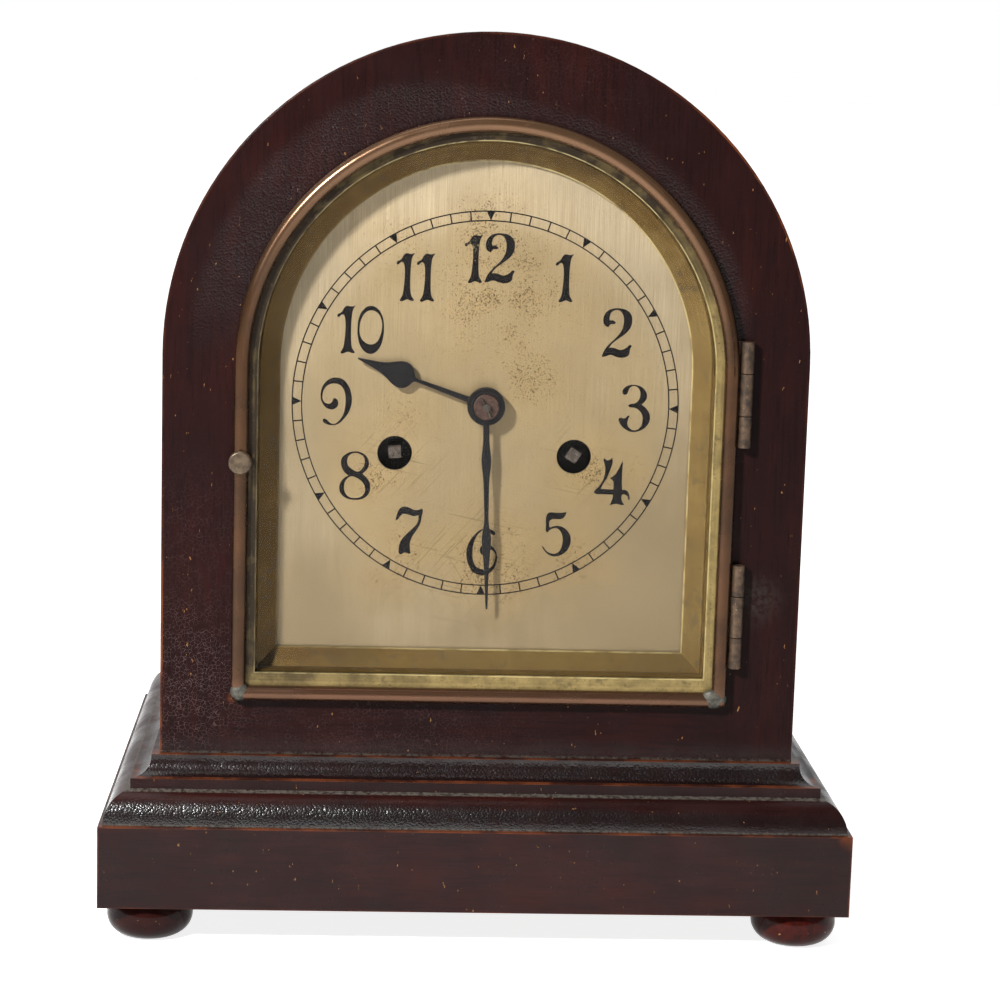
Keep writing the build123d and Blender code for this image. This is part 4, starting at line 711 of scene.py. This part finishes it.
def silveredDial(s):
    finish, tree, shader, place = startFinish("silveredDial", Specular_IOR_Level=0.4)
    x, _, z = addNode(tree, "SeparateXYZ", place).outputs
    brush = streaks(tree, place, s["brushed"], "Z", 90, detail=4, roughness=0.7)
    bands = streaks(tree, place, 3.2, "Z", 14, detail=3, shift=2.0)
    cloud = grit(tree, place, 30, detail=3, roughness=0.55)
    # Painted shade: the silvering dims towards the bottom, to the right, at the left edge and at the lower
    # right; the cloud and the bands are its own unevenness
    shade = onDial(tree, place, 44, 122, 62, strength=0.24)
    for pattern, low, high, strength in (
        (z, 262 * mm, 88 * mm, 0.78),
        (x, -20 * mm, 70 * mm, 0.12),
        (x, -36 * mm, -68 * mm, 0.14),
        (cloud, 0.34, 0.66, 0.16),
        (bands, 0.36, 0.64, 0.07),
    ):
        more = addNode(tree, "MapRange", pattern, low, high, 0.0, strength, **smooth)
        shade = addNode(tree, "Math", shade, more, **plus)
    colour = addNode(tree, "Mix", shade, s["light"], s["dark"], **blend)
    hub = [c * mm for c in (0, s["face"], s["hub"])]
    outward = addNode(tree, "VectorMath", place, hub, operation="DISTANCE")
    outward = addNode(tree, "Math", outward, addNode(tree, "Math", cloud, 12 * mm, **times), **plus)
    within = addNode(tree, "MapRange", outward, 72 * mm, 56 * mm, **smooth)
    yellow = addNode(tree, "Math", within, 0.58, **times)
    colour = addNode(tree, "Mix", yellow, colour, s["yellowed"], **blend)
    brushed = addNode(tree, "MapRange", brush, 0.34, 0.66, 0.0, 0.5, **smooth)
    colour = addNode(tree, "Mix", brushed, colour, s["dark"], **blend)

    spread = strongest(tree, [onDial(tree, place, *spot) for spot in s["failed"]])
    spread = broken(tree, spread, place, 9, 0.3, 0.6, least=0.35, detail=4, roughness=0.65, shift=5.0)
    fine = flecks(tree, place, 0.55, addNode(tree, "Math", spread, 0.235, **times), shift=3.0)
    often = addNode(tree, "Math", spread, 0.16, **times)
    coarse = flecks(tree, place, 1.0, often, shift=8.0, strength=0.8)
    few = addNode(tree, "Math", 0.08, addNode(tree, "Math", within, 0.035, **times), **plus)
    sparse = flecks(tree, place, 0.6, few, soft=0.02, shift=12.0, strength=0.8)
    freckles = strongest(tree, [fine, coarse, sparse])

    # Long hairline scratches, drawn wider than the real ones so that they show
    hairlines, drawn = [], (0.5, 1, 26)
    for slant, shift in s["slants"]:
        lean = (0, radians(slant), 0)
        turned = addNode(tree, "Mapping", place, Rotation=lean, Location=(shift, 0, shift))
        hairlines.append(flecks(tree, turned, 0.9, 0.1, soft=0.02, stretch=drawn, shift=shift, detail=1.0))
    share = strongest(tree, [onDial(tree, place, *spot) for spot in s["scratched"]])
    share = addNode(tree, "Math", share, 0.15, **plus)
    scratches = addNode(tree, "Math", strongest(tree, hairlines), share, **times)

    for marks, strength, hue in (
        (spread, 0.4, "bare"),
        (freckles, 0.85, "freckle"),
        (scratches, 0.32, "freckle"),
    ):
        marked = addNode(tree, "Math", marks, strength, **times)
        colour = addNode(tree, "Mix", marked, colour, s[hue], **blend)
    rough = addNode(tree, "Math", 0.38, addNode(tree, "Math", freckles, 0.25, **times), **plus)
    metallic = addNode(tree, "MapRange", freckles, 0.0, 1.0, 0.3, 0.05, **smooth)
    scored = addNode(tree, "Math", brush, addNode(tree, "Math", freckles, -0.5, **times), **plus)
    relieved = addNode(tree, "Bump", Height=scored, Distance=0.02 * mm)
    dress(tree, shader, Base_Color=colour, Roughness=rough, Metallic=metallic, Normal=relieved)
    return finish


finishes["silveredDial"] = silveredDial(dial)

# Black dial varnish, slightly glossy, flaked off the first figure of the twelve
paint = {"light": "#1a1615", "dark": "#0d0b0b", "under": "#8a7a5a"}


def dialPaint(s):
    finish, tree, shader, place = startFinish("dialPaint", Roughness=0.45, Specular_IOR_Level=0.12)
    flaked = addNode(tree, "Math", onDial(tree, place, -6.5, 222, 7, strength=0.2), 0.02, **plus)
    gone = flecks(tree, place, 0.7, flaked, strength=0.8)
    cloud = addNode(tree, "MapRange", grit(tree, place, 1.2, detail=3), 0.3, 0.7, **smooth)
    colour = addNode(tree, "Mix", cloud, s["dark"], s["light"], **blend)
    dress(tree, shader, Base_Color=addNode(tree, "Mix", gone, colour, s["under"], **blend))
    return finish


finishes["dialPaint"] = dialPaint(paint)

# Thin drawn window glass: almost unseen, with a faint film of dirt
glass = {"dirt": "#2c2a26", "film": (0.04, 0.08)}


def clearGlass(s):
    finish, tree, shader, place = startFinish("clearGlass", Base_Color=s["dirt"], Roughness=0.05, IOR=1.45)
    film = addNode(tree, "MapRange", grit(tree, place, 22, detail=3), 0.3, 0.7, *s["film"], **smooth)
    dress(tree, shader, Alpha=film)
    return finish


finishes["clearGlass"] = clearGlass(glass)
print("metals, dial and glass mixed")

# Which finish each node of the frame wears
dressing = {
    "frontMahogany": ["front_board"],
    "shellMahogany": ["case_shell", "rear_door"],
    "mouldingMahogany": ["moulding_front", "moulding_left", "moulding_right"],
    "plinthMahogany": ["plinth_front", "plinth_left", "plinth_right"],
    "polishedFoot": ["foot_front_left", "foot_front_right", "foot_rear_left", "foot_rear_right"],
    "oakBoard": ["base_board", "seat_board"],
    "backWood": ["plinth_back", "back_frame"],
    "bezelCopper": ["door_bezel"],
    "flangeBrass": ["door_flange"],
    "sightBrass": ["door_reveal"],
    "brownedHinge": [
        "hinge_case_leaves", "hinge_door_leaves", "hinge_pins", "hinge_screws",
        "rear_hinge_fixed", "rear_hinge_straps", "rear_latch",
    ],
    "knobBronze": ["door_knob"],
    "clearGlass": ["door_glass"],
    "silveredDial": ["dial_plate"],
    "blackHands": ["hour_hand", "minute_hand"],
    "wornCopper": ["hand_collar"],
    "dullSteel": ["foot_screws", "centre_arbor", "taper_pin"],
    "windingSteel": ["going_winder", "strike_winder"],
    "movementBrass": [
        "dial_feet", "minute_wheel", "hour_wheel", "back_plate", "plate_pillars", "third_wheel",
        "escape_wheel", "pin_wheel", "going_barrel", "strike_barrel", "pendulum_cock", "pendulum_bob",
    ],
    "brightSteel": [
        "cannon_pinion", "pillar_nuts", "going_click", "strike_click", "anchor", "pendulum_rod", "hammer",
    ],
    "plateBrassInShade": ["front_plate"],
    "gongSteel": ["gong_coil"],
    "blackIron": ["gong_post"],
}
for finishName, nodeNames in dressing.items():
    for nodeName in nodeNames:
        slots = nodes[nodeName].data.materials
        slots.clear()
        slots.append(finishes[finishName])
print("nodes dressed")


# New pieces
def makePiece(name, shape, finishName, body):
    mesh = bpy.data.meshes.new(name)
    bmesh.ops.recalc_face_normals(shape, faces=shape.faces)
    shape.to_mesh(mesh)
    shape.free()
    piece = bpy.data.objects.new(name, mesh)
    bpy.context.collection.objects.link(piece)
    mesh.materials.append(finishes[finishName])
    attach(piece, body)


def ontoDial(shape, verts, lift=0.0):
    # Turns flat work from the floor up against the dial's face, about the hub
    bmesh.ops.rotate(shape, cent=(0, 0, 0), matrix=Matrix.Rotation(pi / 2, 3, "X"), verts=verts)
    bmesh.ops.translate(shape, vec=(0, (dial["face"] - lift) * mm, dial["hub"] * mm), verts=verts)


# Two rings with a tick at each minute and a wedge at each hour; sizes in mm
minuteTrack = {
    "outer": 61.6,  # the rings' radii
    "inner": 58.6,
    "line": 0.37,
    "tick": 0.42,
    "wedge": 2.7,
    "film": 0.04,
    "divisions": 60,
    "wedgeEach": 5,
}


def paintTrack(s):
    shape = bmesh.new()
    for radius in (s["outer"], s["inner"]):
        radii = [(radius - side * s["line"] / 2) * mm for side in (-1, 1)]
        rims = [bmesh.ops.create_circle(shape, segments=180, radius=rim)["verts"] for rim in radii]
        edges = {edge for rim in rims for vert in rim for edge in vert.link_edges}
        bmesh.ops.bridge_loops(shape, edges=list(edges))
    reach = s["outer"] - s["inner"]
    for step in range(s["divisions"]):
        turn = Matrix.Rotation(-2 * pi * step / s["divisions"], 3, "Z")
        middle = Vector((0, (s["outer"] + s["inner"]) / 2 * mm, 0))
        if step % s["wedgeEach"]:
            verts = bmesh.ops.create_grid(shape, x_segments=1, y_segments=1, size=0.5 * mm)["verts"]
            bmesh.ops.scale(shape, vec=(s["tick"], reach, 1), verts=verts)
            bmesh.ops.translate(shape, vec=middle, verts=verts)
        else:
            # A three-sided circle of radius 1 is 1.732 wide and 1.5 high
            verts = bmesh.ops.create_circle(shape, cap_ends=True, segments=3, radius=1 * mm)["verts"]
            bmesh.ops.rotate(shape, cent=(0, 0, 0), matrix=Matrix.Rotation(pi, 3, "Z"), verts=verts)
            bmesh.ops.scale(shape, vec=(s["wedge"] / 1.732, reach / 1.5, 1), verts=verts)
            bmesh.ops.translate(shape, vec=(0, (s["inner"] + reach * 2 / 3) * mm, 0), verts=verts)
        bmesh.ops.rotate(shape, cent=(0, 0, 0), matrix=turn, verts=verts)
    bmesh.ops.solidify(shape, geom=shape.faces[:], thickness=s["film"] * mm)
    ontoDial(shape, shape.verts[:], s["film"])
    makePiece("minute_track", shape, "dialPaint", "case")


paintTrack(minuteTrack)


# Figures in the fat-and-thin style of about 1910. Each is one or more outlines in units of
# 48 to its height, x from its left edge, y up; a third number marks a sharp corner.
figures = {
    "0": (
        26.4,
        [(12.8, 47.2), (6, 43.5), (1.8, 36), (0.4, 26), (1, 15.5), (4.5, 6), (10.5, 0.6), (16.5, 0.6),
         (22.5, 6.5), (25.8, 17.5), (26.2, 28.5), (24.3, 38), (19.5, 44.8)],
        [(13, 42.8), (8, 40.5), (4, 34), (2.4, 26), (3, 18.5), (6.5, 12.5), (12.5, 9.4), (18.5, 11),
         (22.3, 17), (24.3, 25), (23.8, 33), (21, 39.3), (17.5, 42)],
    ),
    "1": (
        18.2,
        [(0.2, 37.2), (4.5, 40.8), (7.8, 45.8), (10, 46.8), (14, 46.2), (18, 47.3, 1), (15.8, 43.6),
         (14.7, 39.5), (14.5, 8.5), (15.3, 5.5), (18, 1.2, 1), (16.8, 0.2), (11.3, 1.6), (5, -0.3),
         (3.8, 0.9, 1), (6.3, 5.5), (7.2, 9), (7.3, 36.5), (5.3, 38.2), (1.2, 35.6)],
    ),
    "2": (
        30.0,
        [(0.4, 1.4, 1), (3, 7.6), (7.2, 13.4), (12.5, 18.5), (17.5, 24.3), (20.3, 30), (21.2, 36),
         (20.4, 42), (17.5, 46.2), (13.5, 47.4), (9.5, 45.8), (7.2, 41.5), (7.8, 37), (10, 37.3),
         (13.5, 34.9, 1), (11.5, 33.4), (8.5, 33.4), (6, 30.3, 1), (2.8, 31.8), (0.9, 36), (1.6, 41.5),
         (5, 46.3), (10.5, 48.8), (17, 49), (23.5, 47.5), (28.2, 43), (29.4, 37), (28, 30.5),
         (23.5, 24.5), (16, 18.8), (9.8, 13.5), (7.5, 10, 1), (12.5, 9.9), (19, 8), (24.5, 10.2),
         (28.3, 13.2), (30, 12.2, 1), (28.2, 8.8), (27.2, 3.5), (22.5, 0.6), (15.5, 0.9), (9, 2.9),
         (4, 1.2), (1, 0.8, 1)],
    ),
    "3": (
        31.5,
        [(4.6, 37.6), (3.2, 40), (4.8, 43.8), (9, 46.6), (15, 47.4), (21.5, 45.8), (26.2, 41.5),
         (27.9, 36), (26.2, 31.5), (22.8, 28, 1), (27.5, 24), (31, 18.5), (31.4, 12.5), (28.5, 6.5),
         (22.5, 2), (14.5, 0.3), (7.5, 2.8), (3, 6.8), (0.2, 12, 1), (1, 13.8), (6.3, 13.8),
         (10.5, 16.6), (11.3, 16, 1), (9.8, 12.5), (9.4, 7.5), (12.5, 3.4), (17, 2), (22, 5), (24.2, 11),
         (23.6, 17.5), (20.5, 22), (15.5, 24.6), (11.3, 25), (9, 26.6, 1), (12, 28.3), (16.5, 29.2),
         (20.5, 34), (21, 40), (18.5, 44.6), (14.5, 46.3), (10.8, 44.6), (9, 41), (7.6, 38)],
    ),
    "4": (
        37.0,
        [(9.5, 47.4, 1), (14, 45), (18.2, 47.6, 1), (18.6, 43.5), (16.8, 36.5), (13.5, 27.5), (9.5, 20.5),
         (7.6, 16.2, 1), (20, 15.7, 1), (20.3, 20), (19.6, 24.5), (16.4, 27.2, 1), (20.5, 30), (24.5, 36),
         (27.2, 42), (28.8, 44.9, 1), (28.6, 36), (28.5, 24), (29, 15.6, 1), (33, 15.3), (35.8, 12),
         (36.9, 6.3, 1), (36, 5.6), (34.6, 9.2), (32.2, 10.8), (29, 10.9, 1), (28.6, 7), (29.6, 3.8),
         (31.8, 0.6, 1), (29, 0.2), (24, 1.4), (17, -0.2, 1), (18.9, 4.5), (19.9, 8), (19.8, 10.7, 1),
         (8, 10.8), (3.5, 11), (1, 12.6), (2.2, 14.8), (6, 19), (10, 26.5), (11.4, 33), (11, 40),
         (9.6, 44.5)],
    ),
    "5": (
        30.0,
        [(4.8, 41.5), (6.8, 44.8), (14, 45.2), (21, 45.2), (24.8, 46.4, 1), (23.6, 42.5), (20.5, 39.2),
         (16, 38.6), (10.5, 38.4), (8.2, 36.5), (7.9, 33), (8.3, 30, 1), (12, 31.3), (18, 31.7),
         (24.5, 28.8), (28.8, 23), (29.9, 16.5), (28, 9.5), (23, 3.8), (16, 1), (9.5, 1.8), (4.2, 6),
         (1, 11, 1), (1.9, 11), (5.5, 6.5), (10.5, 3.9), (15.5, 3.9), (19.3, 7.2), (21.3, 12.5),
         (21.8, 18.5), (20.3, 24.5), (17, 28.6), (13, 29.5), (9, 27.8), (6, 25.4), (4.8, 26.5), (4.6, 31)],
    ),
    "7": (
        28.4,
        [(1.2, 35.3, 1), (2.6, 40), (4.2, 44.5), (7.5, 47.8), (13.5, 47.8), (19.5, 45.2), (24, 45.3),
         (27.5, 46.9, 1), (28.2, 45.2), (27.2, 38), (26.2, 32), (23, 25.5), (18.5, 18.5), (16.3, 12),
         (16.3, 6), (17.2, 1.2, 1), (15.5, 0.8), (11.5, 1.9), (6.5, 0), (5, 2, 1), (5.2, 7.5), (7.2, 14),
         (12, 20), (18.5, 26.5), (22.5, 31), (24, 36), (23.9, 40, 1), (20.5, 38.8), (14, 40.2),
         (9.2, 40.9), (6.2, 38.8), (3.2, 35), (1.8, 34.6)],
    ),
    "8": (
        31.0,
        [(14, 48.6), (6.5, 46), (2, 41), (1.8, 34.5), (4.5, 28.5), (8.8, 24.5, 1), (3.5, 20.5), (0.2, 13),
         (2, 6), (7.5, 1.6), (15.5, 0.1), (24, 1.6), (29.4, 6.5), (30.8, 13), (29, 20), (22.9, 26.6, 1),
         (28, 32), (29.2, 37.5), (27, 43.5), (21.5, 47.6)],
        [(14.5, 47), (9.5, 44.5), (7.6, 39.5), (8.6, 34.5), (12.5, 31), (18.5, 28.6), (22.5, 31.5),
         (24.8, 37), (24.2, 42.5), (20.3, 46)],
        [(12, 23.6), (7.3, 20.5), (5, 14), (6, 7.5), (10, 3), (15.5, 2), (21.5, 3.2), (25.3, 7.5),
         (25.6, 13), (22.5, 18.5), (17.5, 22)],
    ),
    "9": (
        31.0,
        [(2.5, 4.8), (3.6, 7), (6.2, 6.2), (9.5, 3.2), (13.5, 2), (17.8, 4.5), (22, 10.5), (24.2, 18.5),
         (24.6, 26), (23.6, 34), (20, 39.8), (14.5, 42), (9, 41.3), (4.3, 37.5), (2, 31), (2.6, 25),
         (5.8, 22.3), (9.6, 22.2), (11.9, 25), (12.6, 27.4, 1), (15.5, 27), (17.5, 22.5), (16, 18.5),
         (11.5, 16.3), (6.5, 17.5), (2.4, 21.5), (0.2, 27.5), (0.6, 35.5), (4, 42.5), (9.5, 46.9),
         (16, 47.9), (22.5, 45.8), (27.5, 39.5), (30.3, 31.5), (30.7, 23.5), (28.5, 15), (23.5, 7.5),
         (18.5, 2.6), (12.5, 0.6), (6.5, 1.6)],
    ),
}

# The six is the nine turned about
nineWidth, *nine = figures["9"]
six = [[(nineWidth - x, 48 - y, *corner) for x, y, *corner in outline] for outline in nine]
figures["6"] = (nineWidth, *six)

# Their size, and the rings that their middles stand on, in mm
numerals = {
    "height": 15.5,
    "ring": 47.6,
    "pairRing": 46.6,  # for ten to twelve
    "pairGap": 1.6,  # in units of the figures
    "film": 0.05,
}


def drawFigure(curve, outlines, left, bottom, unit):
    for outline in outlines:
        spline = curve.splines.new("BEZIER")
        spline.bezier_points.add(len(outline) - 1)
        spline.use_cyclic_u = True
        spline.resolution_u = 6
        for point, (x, y, *corner) in zip(spline.bezier_points, outline):
            point.co = (left + x * unit, bottom + y * unit, 0)
            point.handle_left_type = point.handle_right_type = "VECTOR" if corner else "AUTO"


def paintNumerals(s):
    curve = bpy.data.curves.new("numerals", "CURVE")
    curve.dimensions = "2D"
    curve.fill_mode = "BOTH"
    curve.extrude = s["film"] / 2 * mm
    unit = s["height"] / 48 * mm
    for hour in range(1, 13):
        text = str(hour)
        widths = [figures[digit][0] * unit for digit in text]
        total = sum(widths) + (len(text) - 1) * s["pairGap"] * unit
        ring = (s["pairRing"] if len(text) > 1 else s["ring"]) * mm
        turn = radians(30 * hour)
        left = ring * sin(turn) - total / 2
        bottom = ring * cos(turn) - s["height"] / 2 * mm
        for digit, width in zip(text, widths):
            drawFigure(curve, figures[digit][1:], left, bottom, unit)
            left += width + s["pairGap"] * unit
    drawn = bpy.data.objects.new("drawnNumerals", curve)
    bpy.context.collection.objects.link(drawn)
    mesh = bpy.data.meshes.new_from_object(drawn)
    bpy.data.objects.remove(drawn)
    shape = bmesh.new()
    shape.from_mesh(mesh)
    bpy.data.meshes.remove(mesh)
    bmesh.ops.remove_doubles(shape, verts=shape.verts[:], dist=0.002 * mm)
    ontoDial(shape, shape.verts[:], s["film"] / 2)
    makePiece("numerals", shape, "dialPaint", "case")


paintNumerals(numerals)
print("dial painted")


# Lead solder over the door's lower mitres, wiped over the bezel and the flange; sizes in mm
solder = {
    "half": 79.4,  # the door's half width, its foot and its front
    "bottom": 77.0,
    "front": -73.3,
    "left": (5.8, 6.2),  # width and height
    "right": (8.2, 6.2),
    "halfDepth": 1.75,
    "middle": 1.45,  # behind the door's front
    "lap": 0.1,  # past the door's sides
}


def wipeSolder(s, side, name):
    shape = bmesh.new()
    width, height = s["left" if side < 0 else "right"]
    verts = bmesh.ops.create_icosphere(shape, subdivisions=4, radius=1.0)["verts"]
    bmesh.ops.scale(shape, vec=(width * mm / 2, s["halfDepth"] * mm, height * mm / 2), verts=verts)
    across = side * (s["half"] - width / 2 + s["lap"])
    centre = (across, s["front"] + s["middle"], s["bottom"] + height / 2 - s["lap"])
    bmesh.ops.translate(shape, vec=[c * mm for c in centre], verts=verts)
    makePiece(name, shape, "leadSolder", "door")


wipeSolder(solder, -1, "solder_left")
wipeSolder(solder, 1, "solder_right")
print("door soldered")


# Floor, world and lamps
studio = {
    "floorSize": 40.0,  # metres
    "floor": "#c8c8c8",
    "glow": 0.84,
    "behind": 1.0,  # the world's strength
    "before": 0.09,
    "lamps": (  # place and target in mm, size in mm, watts
        ("keyLamp", (-640, -830, 800), (0, -60, 160), 120, 27.5),
        ("fillLamp", (900, -900, 500), (0, -40, 140), 900, 0.5),
        ("topLamp", (-150, 100, 1300), (0, 0, 150), 800, 3.0),
    ),
}


def buildStudio(s):
    shape = bmesh.new()
    bmesh.ops.create_grid(shape, x_segments=1, y_segments=1, size=s["floorSize"] / 2)
    mesh = bpy.data.meshes.new("floor")
    shape.to_mesh(mesh)
    shape.free()
    floor = bpy.data.objects.new("floor", mesh)
    bpy.context.collection.objects.link(floor)
    # Pale paper that takes the clock's shadow; a glow seen only by eye, gloss and glass whitens it
    paper, tree, shader, place = startFinish(
        "floorPaper", Base_Color=s["floor"], Roughness=0.9, Specular_IOR_Level=0.1, Emission_Color="#ffffff"
    )
    rays = addNode(tree, "LightPath").outputs
    seen = strongest(tree, [rays["Is " + kind + " Ray"] for kind in ("Camera", "Glossy", "Transmission")])
    dress(tree, shader, Emission_Strength=addNode(tree, "Math", seen, s["glow"], **times))
    mesh.materials.append(paper)

    # A white sweep behind the clock, and the dimmer room in front of it, which the eye sees as white too
    world = bpy.data.worlds.new("studio")
    world.use_nodes = True
    bpy.context.scene.world = world
    tree = world.node_tree
    around = addNode(tree, "TexCoord").outputs["Generated"]
    behind = addNode(tree, "SeparateXYZ", around).outputs["Y"]
    level = addNode(tree, "MapRange", behind, -0.1, 0.35, s["before"], s["behind"], **smooth)
    level = addNode(tree, "Math", level, addNode(tree, "LightPath").outputs["Is Camera Ray"], **most)
    dress(tree, tree.nodes["Background"], Color="#ffffff", Strength=level)

    for name, place, target, size, power in s["lamps"]:
        lamp = bpy.data.lights.new(name, "AREA")
        lamp.shape = "DISK"
        lamp.size = size * mm
        lamp.energy = power
        lit = bpy.data.objects.new(name, lamp)
        away = (Vector(place) - Vector(target)).normalized()
        turned = away.to_track_quat("Z", "Y").to_matrix().to_4x4()
        lit.matrix_world = Matrix.Translation(Vector(place) * mm) @ turned
        bpy.context.collection.objects.link(lit)


buildStudio(studio)
print("studio lit")
